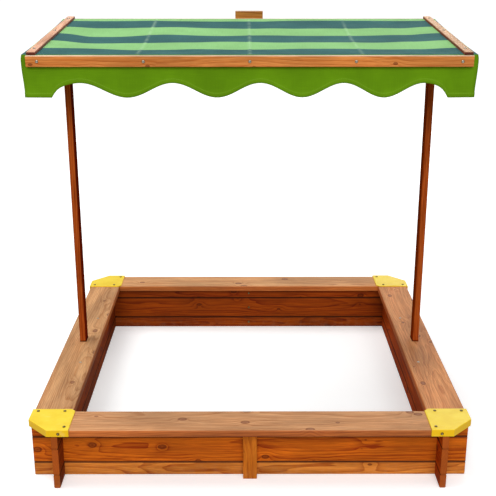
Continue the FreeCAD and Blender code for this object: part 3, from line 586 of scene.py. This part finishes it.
def stripedCloth():
    look = stripeLook
    material, tree, shader, flat, weave = clothShader("stripedCloth")
    waver = noiseAt(tree, flat, look["waver"], 1.0)
    along = calc(tree, "MULTIPLY_ADD", waver, look["waverReach"], axesOf(tree, flat)[1])
    phase = calc(tree, "FRACT", calc(tree, "DIVIDE", calc(tree, "SUBTRACT", along, look["firstEdge"]),
                                     look["pitch"] * 2))
    soft = look["softEdge"] / look["pitch"]
    isLight = calc(tree, "MULTIPLY", ramp(tree, phase, 0.0, soft),
                   ramp(tree, phase, 0.5, 0.5 + soft, 1.0, 0.0))
    fade = ramp(tree, weave["Fade"], *clothLook["fadeEdge"])
    colour = blendColour(tree, isLight, blendColour(tree, fade, look["darkLow"], look["dark"]),
                         blendColour(tree, fade, look["lightLow"], look["light"]))
    # painted highlight along the packing folds, broken into patches by noise
    creaseMap = tree.nodes.new("ShaderNodeAttribute")
    creaseMap.attribute_name = "crease"
    creaseHighlight = calc(tree, "MULTIPLY", creaseMap.outputs["Fac"],
                  ramp(tree, noiseAt(tree, flat, look["highlightBreaks"], 3.0), *look["highlightBreakEdge"]))
    colour = blendColour(tree, calc(tree, "MULTIPLY", creaseHighlight, look["creaseHighlightShare"]), colour, look["crease"])
    tree.links.new(addSlubs(tree, weave, colour, look), shader.inputs["Base Color"])
    height = calc(tree, "MULTIPLY_ADD", weave["Slubs"], clothLook["slubHigh"], weave["Threads"])
    addBump(tree, shader, height, clothLook["bumpHigh"], clothLook["bump"])
    return material


def valanceCloth():
    look = valanceLook
    material, tree, shader, flat, weave = clothShader("valanceCloth")
    hemMap = tree.nodes.new("ShaderNodeUVMap")
    hemMap.uv_map = "hemMap"   # length along the hem, and height above it
    alongHem, fromEdge = axesOf(tree, hemMap.outputs[0])[:2]
    stitch = stitchMask(tree, alongHem, fromEdge)
    colour = blendColour(tree, ramp(tree, weave["Fade"], *clothLook["fadeEdge"]), look["deep"], look["green"])
    hemStep = calc(tree, "MULTIPLY", ramp(tree, fromEdge, *look["hemLine"]), look["hemShare"])
    colour = addSlubs(tree, weave, blendColour(tree, hemStep, colour, look["hem"]), look)
    colour = blendColour(tree, calc(tree, "MULTIPLY", stitch, look["stitchShare"]), colour, look["stitch"])
    tree.links.new(colour, shader.inputs["Base Color"])
    height = calc(tree, "MULTIPLY_ADD", weave["Slubs"], clothLook["slubHigh"], weave["Threads"])
    height = calc(tree, "MULTIPLY_ADD", stitch, look["stitchHigh"], height)
    addBump(tree, shader, height, clothLook["bumpHigh"], clothLook["bump"])
    return material


steel = zincSteel("zincSteel", steelLook["bright"])
dullSteel = zincSteel("dullSteel", steelLook["dull"])
plastic = capPlastic()
topCloth = stripedCloth()
sideCloth = valanceCloth()

# the canopy's own flat frame, read from the pivots and the cross rails
bolts = [boxMiddle("left_pivot_bolt"), boxMiddle("right_pivot_bolt")]
pivot = Vector((0, (bolts[0].y + bolts[1].y) / 2, (bolts[0].z + bolts[1].z) / 2))
railRise = boxMiddle("back_cross_rail") - boxMiddle("front_cross_rail")
tilt = math.atan2(railRise.z, railRise.y)
canopyTurn = Matrix.Rotation(tilt, 4, "X")
canopySpace = Matrix.Translation(pivot) @ canopyTurn


def flatBox(node):
    # a canopy node's lowest and highest corners, in the canopy's flat frame
    flatSpace = canopySpace.inverted()
    points = [flatSpace @ vertex.co for vertex in nodeMesh(node).vertices]
    return [Vector([pick(point[axis] for point in points) for axis in range(3)])
            for pick in (min, max)]


def paint(node, material):
    nodeMesh(node).materials.clear()
    nodeMesh(node).materials.append(material)


firstSeed = 12
boards = []   # name, finish, long axis, axis of the thickness, tilt, tone of the painted shade inside
for side in ("front", "back", "left", "right"):
    along, thin = ("X", "Y") if side in ("front", "back") else ("Y", "X")
    for course in ("bottom", "middle", "top"):
        finish = lowWallFinish if (side, course) == ("front", "bottom") else wallFinish
        boards.append(("%s_%s_board" % (side, course), finish, along, thin, 0.0, wallInsideShade[side]))
    finish = rightSeatFinish if side == "right" else seatFinish
    boards.append((side + "_seat", finish, along, "Z", 0.0, None))
boards += [(side + "_batten", battenFinish, "Z", "Y", 0.0, None) for side in ("front", "back")]
boards += [(side + "_post", postFinish, "Z", "X", 0.0, postInsideShade[side]) for side in ("left", "right")]
boards += [(side + "_side_rail", canopyFinish, "Y", "X", tilt, None) for side in ("left", "right")]
for rail in ("cross_rail", "clamp_rail"):
    boards += [("%s_%s" % (side, rail), canopyFinish, "X", "Y", tilt, None) for side in ("front", "back")]
boards += [(side + "_slat", slatFinish, "Y", "Z", tilt, None) for side in ("left", "right")]
boards.append(("back_handle", handleFinish, "X", "Y", tilt, None))
boards += [(side + "_spacer", canopyFinish, "X", "Y", tilt, None) for side in ("left", "right")]
for seed, (node, finish, along, thin, lean, insideShade) in enumerate(boards, firstSeed):
    paint(node, stainedWood(node, finish, along, thin, seed, lean, insideShade))
for side in ("front", "back"):
    for end in ("left", "right"):
        paint("%s_%s_cap" % (side, end), plastic)
print("boards stained:", len(boards))


screwLook = {
    "sides": 24, "shank": 0.00175, "tip": 0.3, "tipLong": 0.004,
    "dome": ((0.96, 0.0), (1.0, 0.14), (0.97, 0.45), (0.82, 0.8), (0.55, 0.97)),   # shares of radius, height
    "sunkTall": 0.0026, "sunkRim": 0.97, "sunkLip": 0.0003, "sunkInner": 0.55,
    "lobes": 6, "socket": 0.00125, "lobe": 0.00028, "socketDeep": 0.0013, "socketTaper": 0.85,
    "headEdge": 0.0002,
}


def screwHead(bm, place, headRadius, headTall, shankLong, sunk):
    # a ring grown outwards and inwards: tip, shank and head, then a lobed socket
    look = screwLook
    shank = look["shank"]
    ring = bmesh.ops.create_circle(bm, cap_ends=False, segments=look["sides"],
                                   radius=shank * look["tip"])["verts"]
    bmesh.ops.translate(bm, verts=ring, vec=(0, 0, -shankLong))
    edges = [edge for edge in bm.edges if edge.verts[0] in ring and edge.verts[1] in ring]
    bmesh.ops.contextual_create(bm, geom=edges)
    steps = [(shank, look["tipLong"] - shankLong), (shank, -headTall if sunk else 0.0)]
    if sunk:
        steps += [(headRadius * look["sunkRim"], -look["sunkLip"]), (headRadius, 0.0),
                  (headRadius * look["sunkInner"], 0.0)]
    else:
        steps += [(headRadius * wide, headTall * tall) for wide, tall in look["dome"]]
    crown = 0.0 if sunk else headTall
    every = list(ring)

    def grow(edges, reachAt, height):
        edges, added = extruded(bm, edges)
        for vertex in added:
            angle = math.atan2(vertex.co.y, vertex.co.x)
            reach = reachAt(angle)
            vertex.co = Vector((math.cos(angle) * reach, math.sin(angle) * reach, height))
        every.extend(added)
        return edges

    for radius, height in steps:
        edges = grow(edges, lambda angle: radius, height)
    for taper, height in ((1.0, crown), (look["socketTaper"], crown - look["socketDeep"])):
        edges = grow(edges, lambda angle: taper * (
            look["socket"] + look["lobe"] * math.cos(angle * look["lobes"])), height)
    bmesh.ops.contextual_create(bm, geom=edges)
    bmesh.ops.transform(bm, matrix=place, verts=every)


def islands(node):
    # the separate solids of a node, each as its points
    bm = bmesh.new()
    bm.from_mesh(nodeMesh(node))
    bmesh.ops.remove_doubles(bm, verts=bm.verts, dist=1e-6)
    left = set(bm.verts)
    found = []
    while left:
        stack = [left.pop()]
        points = []
        while stack:
            vertex = stack.pop()
            points.append(vertex.co.copy())
            for edge in vertex.link_edges:
                other = edge.other_vert(vertex)
                if other in left:
                    left.remove(other)
                    stack.append(other)
        found.append(points)
    bm.free()
    found.sort(key=lambda points: tuple(round(value, 4) for value in middleOf(points)))
    return found


def makeScrews(node, facing, sunk, body, metal=steel):
    # facing gives each screw's outward direction from its middle
    bm = bmesh.new()
    for points in islands(node):
        middle = middleOf(points)
        axis = facing(middle).normalized()
        reaches = [(point - middle).dot(axis) for point in points]
        radii = [(point - middle - axis * reach).length for point, reach in zip(points, reaches)]
        headRadius, top, tail = max(radii), max(reaches), min(reaches)
        seat = min(reach for reach, radius in zip(reaches, radii)
                   if radius > headRadius - screwLook["headEdge"])
        base = top if sunk else seat
        headTall = screwLook["sunkTall"] if sunk else top - seat
        turn = axis.to_track_quat("Z", "Y").to_matrix().to_4x4()
        spin = Matrix.Rotation(random.uniform(0, 1), 4, "Z")
        place = Matrix.Translation(middle + axis * base) @ turn @ spin
        screwHead(bm, place, headRadius, headTall, base - tail, sunk)
    bmesh.ops.recalc_face_normals(bm, faces=bm.faces)
    finishMesh(node + "_made", bm, [metal], body, [node])


capZone = {"belowTop": 0.004, "fromSide": 0.008}   # which screws stand on a cap and which on its skirt
upward = Vector((0, 0, 1))


def capFacing(middle):
    low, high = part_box("front_left_cap")
    reach = max(abs(middle.x), abs(middle.y))
    onTop = middle.z > (low[2] + high[2]) / 2 - capZone["belowTop"] and reach < -low[0] - capZone["fromSide"]
    return upward if onTop else outward(middle, "X" if abs(middle.x) > abs(middle.y) else "Y")


makeScrews("cap_screws", capFacing, False, "box", dullSteel)
makeScrews("seat_screws", lambda middle: upward, True, "box")
makeScrews("batten_screws", lambda middle: -outward(middle, "Y"), False, "box", dullSteel)
makeScrews("post_screws", lambda middle: outward(middle, "X"), True, "box")
makeScrews("clamp_screws", lambda middle: canopyTurn @ outward(middle, "Y"), False, "canopy")
makeScrews("slat_screws", lambda middle: canopyTurn @ upward, False, "canopy")
makeScrews("frame_screws", lambda middle: outward(middle, "X"), True, "canopy")
makeScrews("handle_screws", lambda middle: canopyTurn @ Vector((0, 1, 0)), False, "canopy")
print("screws made")


pivotLook = {
    "sides": 32, "boreGap": 0.0002,
    "threadPitch": 0.00125, "threadDeep": 0.0004, "threadLong": 0.016,
    "threadStart": 0.0009, "threadCrest": (0.4, 0.55),      # the crest, in shares of the pitch
    "pointDeep": 1.6, "pointLong": 0.0006, "runOut": (0.0012, 0.002), "runOutDeep": 0.5,
    "endZone": 0.001, "headEdge": 0.0002, "washerEdges": (0.2, 0.25, 0.3),
    # shares of radius and height, from the underside up
    "boltHead": ((0.98, 0.0), (1.0, 0.12), (0.95, 0.42), (0.8, 0.72), (0.5, 0.94), (0.2, 1.0)),
    "hub": ((0.98, 0.12), (0.86, 0.2), (0.8, 0.3), (0.76, 0.52), (0.7, 0.58)), "hubLip": 0.0004,
    "hubEdge": 0.0003, "hubTop": (0.58, 0.55),
    "wingSides": 28, "wingLong": 0.0082, "wingWide": 0.0042, "wingLean": 50.0, "wingThick": 0.003,
    "wingRound": 0.0009,
}


def turnedRing(bm, profile):
    # a profile of (radius, height) points spun round the Z axis
    chain = [bm.verts.new((radius, 0, height)) for radius, height in profile]
    edges = [bm.edges.new(pair) for pair in zip(chain, chain[1:])]
    bmesh.ops.spin(bm, geom=chain + edges, cent=(0, 0, 0), axis=(0, 0, 1), dvec=(0, 0, 0),
                   angle=2 * math.pi, steps=pivotLook["sides"], use_merge=True, use_duplicate=False)


def finishPivotPiece(name, bm, x, quarterTurns, body):
    # closes the mesh and turns its axis from Z to the pivot's line
    place = Matrix.Translation((x, pivot.y, pivot.z)) @ Matrix.Rotation(math.pi / 2 * quarterTurns, 4, "Y")
    bmesh.ops.remove_doubles(bm, verts=bm.verts, dist=1e-7)
    bmesh.ops.recalc_face_normals(bm, faces=bm.faces)
    bmesh.ops.transform(bm, matrix=place, verts=bm.verts)
    finishMesh(name + "_made", bm, [steel], body, [name])


def addWing(bm, sign, reach, tall):
    # a leaf-shaped wing: a flat oval, pulled to its thickness and rounded over
    made = bmesh.ops.create_circle(bm, cap_ends=True, segments=pivotLook["wingSides"], radius=1.0)["verts"]
    lean = math.radians(pivotLook["wingLean"])
    long, wide, thick = pivotLook["wingLong"], pivotLook["wingWide"], pivotLook["wingThick"]
    halfX = math.hypot(long * math.cos(lean), wide * math.sin(lean))
    halfZ = math.hypot(long * math.sin(lean), wide * math.cos(lean))
    place = (Matrix.Translation((sign * (reach - halfX), thick / 2, tall - halfZ))
             @ Matrix.Rotation(-lean * sign, 4, "Y") @ Matrix.Diagonal((long * sign, 1, wide, 1))
             @ Matrix.Rotation(math.pi / 2, 4, "X"))
    bmesh.ops.transform(bm, matrix=place, verts=made)
    leaf = [face for face in bm.faces if all(vertex in made for vertex in face.verts)]
    pulled = bmesh.ops.extrude_face_region(bm, geom=leaf)["geom"]
    far = [item for item in pulled if isinstance(item, bmesh.types.BMVert)]
    bmesh.ops.translate(bm, verts=far, vec=(0, -thick, 0))
    both = set(made) | set(far)
    rims = [edge for edge in bm.edges if edge.verts[0] in both and edge.verts[1] in both
            and any(len(face.verts) > 4 for face in edge.link_faces)]
    bmesh.ops.bevel(bm, geom=rims, offset=pivotLook["wingRound"], offset_type="OFFSET", segments=3,
                    profile=0.5, affect="EDGES", clamp_overlap=True, material=-1)


def makeBolt(name, side):
    # a carriage bolt with a threaded end; gives its shank's radius
    look = pivotLook
    low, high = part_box(name)
    outer, inner = (low[0], high[0]) if side < 0 else (high[0], low[0])
    offAxis = [(vertex.co.x, math.hypot(vertex.co.y - pivot.y, vertex.co.z - pivot.z))
               for vertex in nodeMesh(name).vertices]
    headRadius = max(radius for x, radius in offAxis)
    shank = max(radius for x, radius in offAxis if abs(x - inner) < look["endZone"])
    headTall = max(abs(outer - x) for x, radius in offAxis if radius > headRadius - look["headEdge"])
    seat = abs(outer - inner) - headTall
    pitch, deep, threaded = look["threadPitch"], look["threadDeep"], look["threadLong"]
    profile = [(0, 0), (shank - deep * look["pointDeep"], 0), (shank - deep, look["pointLong"])]
    for number in range(int(threaded / pitch)):
        start = look["threadStart"] + number * pitch
        profile.append((shank - deep, start))
        profile += [(shank, start + pitch * share) for share in look["threadCrest"]]
    fade, full = look["runOut"]
    profile += [(shank - deep * look["runOutDeep"], fade + threaded), (shank, full + threaded), (shank, seat)]
    profile += [(headRadius * wide, seat + headTall * tall) for wide, tall in look["boltHead"]]
    bm = bmesh.new()
    turnedRing(bm, profile + [(0, seat + headTall)])
    finishPivotPiece(name, bm, inner, side, "canopy")
    return shank


def makeWasher(name, shank):
    low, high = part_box(name)
    radius, thick, bore = (high[2] - low[2]) / 2, high[0] - low[0], shank + pivotLook["boreGap"] * 2
    inner, under, over = (thick * share for share in pivotLook["washerEdges"])
    bm = bmesh.new()
    turnedRing(bm, [(bore, inner), (bore + inner, 0), (radius - under, 0), (radius, under),
                    (radius, thick - over), (radius - over, thick), (bore + inner, thick),
                    (bore, thick - inner), (bore, inner)])
    finishPivotPiece(name, bm, low[0], 1, "box")


def makeWingNut(name, side, shank, body):
    low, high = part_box(name)
    reach, hub, tall = (high[2] - low[2]) / 2, (high[1] - low[1]) / 2, high[0] - low[0]
    bore, lip = shank + pivotLook["boreGap"], pivotLook["hubLip"]
    mouth, throat = (tall * share for share in pivotLook["hubTop"])
    bm = bmesh.new()
    turnedRing(bm, [(bore, lip), (bore + lip, 0), (hub - pivotLook["hubEdge"], 0), (hub, lip)]
               + [(hub * wide, tall * share) for wide, share in pivotLook["hub"]]
               + [(bore + lip, mouth), (bore, throat), (bore, lip)])
    for sign in (-1, 1):
        addWing(bm, sign, reach, tall)
    finishPivotPiece(name, bm, low[0] if side < 0 else high[0], -side, body)


for name, side in (("left", -1), ("right", 1)):
    shank = makeBolt(name + "_pivot_bolt", side)
    makeWasher(name + "_washer", shank)
    makeWingNut(name + "_wing_nut", side, shank, name + "_nut")
print("pivots made")


clothCut = {
    "thick": 0.0009,
    "cell": 0.007,            # spacing of the mesh, in metres
    "sag": 0.0065, "sagShares": (0.55, 0.45),   # dip in the middle of the span
    "holdX": (0.1, -0.004), "holdY": (0.035, 0.0),   # how far inside the rails the cloth goes free
    "ripple": 0.0042, "slow": (4.6, 7.5), "quick": (11.0, 15.0), "quickShare": 0.45,
    "creaseHigh": 0.0012, "creaseWide": 0.0035,   # folds left from packing, at the quarters
    "creaseWander": 0.004, "creaseShares": (0.4, 0.6),
    "waveRise": 0.036, "wavePitch": 0.215,
    "waveEnd": 0.062,         # from the last peak to the straight end
    "waveShift": 0.026,       # the cut-outs sit a little to the right between the straight ends
    "sideWaves": 2, "frontWaves": 5,
    "rows": (0.02, 0.09, 0.18, 0.28, 0.38, 0.48, 0.58, 0.68, 0.78, 0.88),   # shares of the drop
    "hem": 0.012, "hemStep": 0.0015, "hemThick": 0.0006,   # a close row above the hem shows its fold
    "hemDrop": 0.003,         # cloth stretches a little below its cut length
    "bulge": 0.0085,          # the side flaps stand off the rails, most of all at the corners
    "bulgeAlong": (0.35, 0.65), "bulgeFull": 0.012, "bulgeEase": (0.02, 0.1), "bulgeDown": (0.75, 0.25, 0.55),
    "flutter": 0.0035, "flutterBase": 0.45, "flutterAt": 0.08, "flutterMost": 1.2, "sideFlutter": 0.4,
    "flute": 7.0, "fineFlute": 21.0, "fineShare": 0.35, "fluteDown": 9.0, "railGap": 0.006,
}


def smoothStep(low, high, value):
    share = min(max((value - low) / (high - low), 0), 1)
    return share * share * (3 - 2 * share)


def waveShape(across, count):
    # 0 on the straight ends and lobes, 1 at the top of each cut-out
    pitch = clothCut["wavePitch"]
    last = pitch * (count - 1) / 2
    across -= clothCut["waveShift"] * max(0.0, 1 - (across / (last + clothCut["waveEnd"])) ** 2)
    if abs(across) <= last:
        start = 0 if count % 2 else pitch / 2
        return 0.5 + 0.5 * math.cos(2 * math.pi * (across - start) / pitch)
    past = (abs(across) - last) / clothCut["waveEnd"]
    return math.sqrt(1 - past * past) if past < 1 else 0.0


def same(first, second):
    return abs(first - second) < 1e-5


def makeCanopy():
    cut = clothCut
    lowTop, highTop = flatBox("canopy_cloth")
    lowFront, highFront = flatBox("front_valance")
    lowSide, highSide = flatBox("right_valance")
    halfX = (lowSide.x + highSide.x) / 2
    halfY = -(lowFront.y + highFront.y) / 2
    topZ = (lowTop.z + highTop.z) / 2
    hemZ = lowFront.z - cut["hemDrop"]
    clampZ = flatBox("front_clamp_rail")[0].z
    freeX = flatBox("right_side_rail")[0].x
    freeY = -flatBox("front_cross_rail")[1].y

    bm = bmesh.new()
    bmesh.ops.create_grid(bm, x_segments=round(2 * halfX / cut["cell"]),
                          y_segments=round(2 * halfY / cut["cell"]), size=1.0)
    bmesh.ops.transform(bm, matrix=Matrix.Translation((0, 0, topZ)) @ Matrix.Diagonal((halfX, halfY, 1, 1)),
                        verts=bm.verts)
    flatUv = bm.loops.layers.uv.new("flatCloth")
    hemUv = bm.loops.layers.uv.new("hemMap")
    crease = bm.verts.layers.float.new("crease")
    flatPlace = {vertex: (vertex.co.x, vertex.co.y) for vertex in bm.verts}
    hemPlace = {vertex: (0.0, 0.5) for vertex in bm.verts}

    def onSide(point):
        return same(abs(point.x), halfX)

    def onFront(point):
        return same(abs(point.y), halfY)

    def around(point):
        # distance round the rim, for stitches and slow folds
        if onFront(point):
            return point.x * math.copysign(1, -point.y)
        return (point.y + 4 * halfX) * math.copysign(1, point.x)

    def lowEdge(point):
        if onFront(point) == onSide(point):
            return hemZ
        across, count = (point.x, cut["frontWaves"]) if onFront(point) else (point.y, cut["sideWaves"])
        return hemZ + cut["waveRise"] * waveShape(across, count)

    # skirt: the rim is pulled down row by row, with close rows for the hem
    edges = [edge for edge in bm.edges if edge.is_boundary]
    skirt = []
    hemRows = [cut["hem"] + cut["hemStep"], cut["hem"], cut["hem"] * 0.5, 0.0]
    for row in range(len(cut["rows"]) + len(hemRows)):
        edges, added = extruded(bm, edges)
        for vertex in added:
            rim = Vector((vertex.co.x, vertex.co.y, topZ))
            bottom = lowEdge(rim)
            if row < len(cut["rows"]):
                height = topZ + (bottom + hemRows[0] - topZ) * cut["rows"][row]
            else:
                height = bottom + hemRows[row - len(cut["rows"])]
            vertex.co.z = height
            drop = topZ - height
            flatPlace[vertex] = (rim.x + math.copysign(drop, rim.x) if onSide(rim) else rim.x,
                                 rim.y + math.copysign(drop, rim.y) if onFront(rim) else rim.y)
            hemPlace[vertex] = (around(rim), height - bottom)
            skirt.append((vertex, rim, drop))

    for face in bm.faces:
        isSkirt = abs(face.normal.z) < 0.5 and min(vertex.co.z for vertex in face.verts) < topZ - 1e-4
        face.material_index = 1 if isSkirt else 0
        for loop in face.loops:
            loop[flatUv].uv = flatPlace[loop.vert]
            loop[hemUv].uv = hemPlace[loop.vert]
    area = sum(face.calc_area() for face in bm.faces)

    def standOff(rim, drop):
        # how far a side flap stands off its rail: most at the corners' tops
        base, more = cut["bulgeAlong"]
        start, rise, ease = cut["bulgeDown"]
        fall = start + rise * smoothStep(0.0, cut["bulgeFull"], drop)
        fall -= ease * smoothStep(*cut["bulgeEase"], drop)
        return cut["bulge"] * (base + more * (abs(rim.y) / halfY) ** 4) * fall

    # top: sag, slow ripples and packing folds, all fading out where the frame holds the cloth
    inSkirt = {vertex for vertex, rim, drop in skirt}
    for vertex in bm.verts:
        if vertex in inSkirt:
            continue
        x, y = vertex.co.x, vertex.co.y
        heldX = 1 - smoothStep(freeX - cut["holdX"][0], freeX - cut["holdX"][1], abs(x))
        heldY = 1 - smoothStep(freeY - cut["holdY"][0], freeY - cut["holdY"][1], abs(y))
        free = heldX * heldY
        span = max(0.0, 1 - (y / freeY) ** 2)
        dip = cut["sag"] * span * (cut["sagShares"][0] + cut["sagShares"][1] * heldX) * heldX
        slow = noise.noise(Vector((x * cut["slow"][0] + 3.1, y * cut["slow"][1], 0.4)))
        quick = noise.noise(Vector((x * cut["quick"][0], y * cut["quick"][1] + 5.0, 2.1)))
        rise = cut["ripple"] * (slow + cut["quickShare"] * quick) * free
        for number, fold in enumerate((-halfX / 2, 0.0, halfX / 2)):
            wander = cut["creaseWander"] * noise.noise(Vector((number * 7.0, y * 3.0, 1.0)))
            near = math.exp(-((x - fold - wander) / cut["creaseWide"]) ** 2)
            rise += cut["creaseHigh"] * near * (cut["creaseShares"][0] + cut["creaseShares"][1] * free)
            vertex[crease] = max(vertex[crease], near)
        vertex.co.z += rise - dip
        if same(abs(x), halfX):
            vertex.co.x += math.copysign(standOff(vertex.co, 0.0), x)

    # skirt: hangs plumb below the clamp, with slow flutes that grow downwards
    for vertex, rim, drop in skirt:
        onX = onSide(rim)
        hang = max(0.0, clampZ - vertex.co.z)
        loose = max(0.0, topZ - cut["railGap"] - vertex.co.z) if onX else hang
        flute = noise.noise(Vector((around(rim) * cut["flute"], 0.3, 0.7)))
        fine = noise.noise(Vector((around(rim) * cut["fineFlute"], drop * cut["fluteDown"], 4.0)))
        amount = cut["flutter"] * (cut["flutterBase"] + flute + cut["fineShare"] * fine)
        amount *= min(loose / cut["flutterAt"], cut["flutterMost"])
        if onX:
            amount = cut["sideFlutter"] * max(amount, 0.0) + standOff(rim, drop)
        if hemPlace[vertex][1] <= cut["hem"] + 1e-4:
            amount += cut["hemThick"]
        if onX or hang > 0:
            vertex.co += outward(rim, "X" if onX else "Y") * amount
        vertex.co.y -= hang * math.tan(tilt)
    bmesh.ops.transform(bm, matrix=canopySpace, verts=bm.verts)
    bmesh.ops.recalc_face_normals(bm, faces=bm.faces)
    piece = finishMesh("canopy_cover", bm, [topCloth, sideCloth], "canopy",
                       ["canopy_cloth", "front_valance", "back_valance", "left_valance", "right_valance"])
    thicken = piece.modifiers.new("thickness", "SOLIDIFY")
    thicken.thickness = cut["thick"]
    thicken.offset = 0.0


makeCanopy()
print("canopy sewn")


studio = {
    "floorSize": 80.0, "floor": 0.9, "bounce": 0.36, "floorRough": 0.9, "floorGloss": 0.05,
    "lift": (0.34, 0.62), "liftReach": (1.0, 3.2), "sky": 0.5, "aim": (0, 0, 0.4),
    "keyLight": {"place": (-1.9, 0.3, 5.4), "size": (3.6, 3.6), "power": 160},
    "frontLight": {"place": (0.2, -5.4, 3.4), "size": (3.6, 2.6), "power": 225},
    "rearLight": {"place": (2.4, 5.0, 2.6), "size": (3.0, 2.4), "power": 55},
}


def cameraOnly(tree, seen, otherwise):
    # one value for what is looked at and another for the light it throws back
    path = tree.nodes.new("ShaderNodeLightPath")
    return ramp(tree, path.outputs["Is Camera Ray"], 0.0, 1.0, otherwise, seen, smooth=False)


def makeFloor():
    bm = bmesh.new()
    bmesh.ops.create_grid(bm, x_segments=8, y_segments=8, size=studio["floorSize"] / 2)
    mesh = bpy.data.meshes.new("floor")
    bm.to_mesh(mesh)
    bm.free()
    floor = bpy.data.objects.new("floor", mesh)
    bpy.context.scene.collection.objects.link(floor)
    material, tree, shader = newMaterial("paleFloor", Roughness=studio["floorRough"],
                                         Specular_IOR_Level=studio["floorGloss"],
                                         Emission_Color=(1, 1, 1, 1))
    grey = tree.nodes.new("ShaderNodeCombineColor")
    for socket in grey.inputs:
        feed(tree, socket, cameraOnly(tree, studio["floor"], studio["bounce"]))
    tree.links.new(grey.outputs[0], shader.inputs["Base Color"])
    coords = tree.nodes.new("ShaderNodeTexCoord").outputs["Object"]
    away = vectorCalc(tree, "LENGTH", coords, output="Value")
    lift = ramp(tree, away, *studio["liftReach"], *studio["lift"])
    tree.links.new(calc(tree, "MULTIPLY", lift, cameraOnly(tree, 1.0, 0.0)),
                   shader.inputs["Emission Strength"])
    mesh.materials.append(material)


def addSoftbox(name):
    setting = studio[name]
    lamp = bpy.data.lights.new(name, "AREA")
    lamp.shape = "RECTANGLE"
    lamp.size, lamp.size_y = setting["size"]
    lamp.energy = setting["power"]
    holder = bpy.data.objects.new(name, lamp)
    bpy.context.scene.collection.objects.link(holder)
    holder.location = setting["place"]
    aim = Vector(studio["aim"]) - Vector(setting["place"])
    holder.rotation_euler = aim.to_track_quat("-Z", "Y").to_euler()


makeFloor()
for name in ("keyLight", "frontLight", "rearLight"):
    addSoftbox(name)
world = bpy.data.worlds.new("studioWorld")
world.use_nodes = True
sky = world.node_tree.nodes["Background"]
sky.inputs["Color"].default_value = (1, 1, 1, 1)
world.node_tree.links.new(cameraOnly(world.node_tree, 1.0, studio["sky"]), sky.inputs["Strength"])
bpy.context.scene.world = world
bpy.context.scene.view_settings.view_transform = "Standard"
print("studio lit")

cameraSetting = {"place": (-0.0102, -2.5813, 1.3093), "lookDown": 18.24, "turn": -0.14, "lens": 66.4,
                 "sensor": 36.0}
cameraData = bpy.data.cameras.new("camera")
cameraData.lens = cameraSetting["lens"]
cameraData.sensor_width = cameraSetting["sensor"]
cameraHolder = bpy.data.objects.new("camera", cameraData)
cameraHolder.location = cameraSetting["place"]
cameraHolder.rotation_euler = (math.radians(90 - cameraSetting["lookDown"]), 0,
                               math.radians(cameraSetting["turn"]))
bpy.context.scene.collection.objects.link(cameraHolder)
bpy.context.scene.camera = cameraHolder
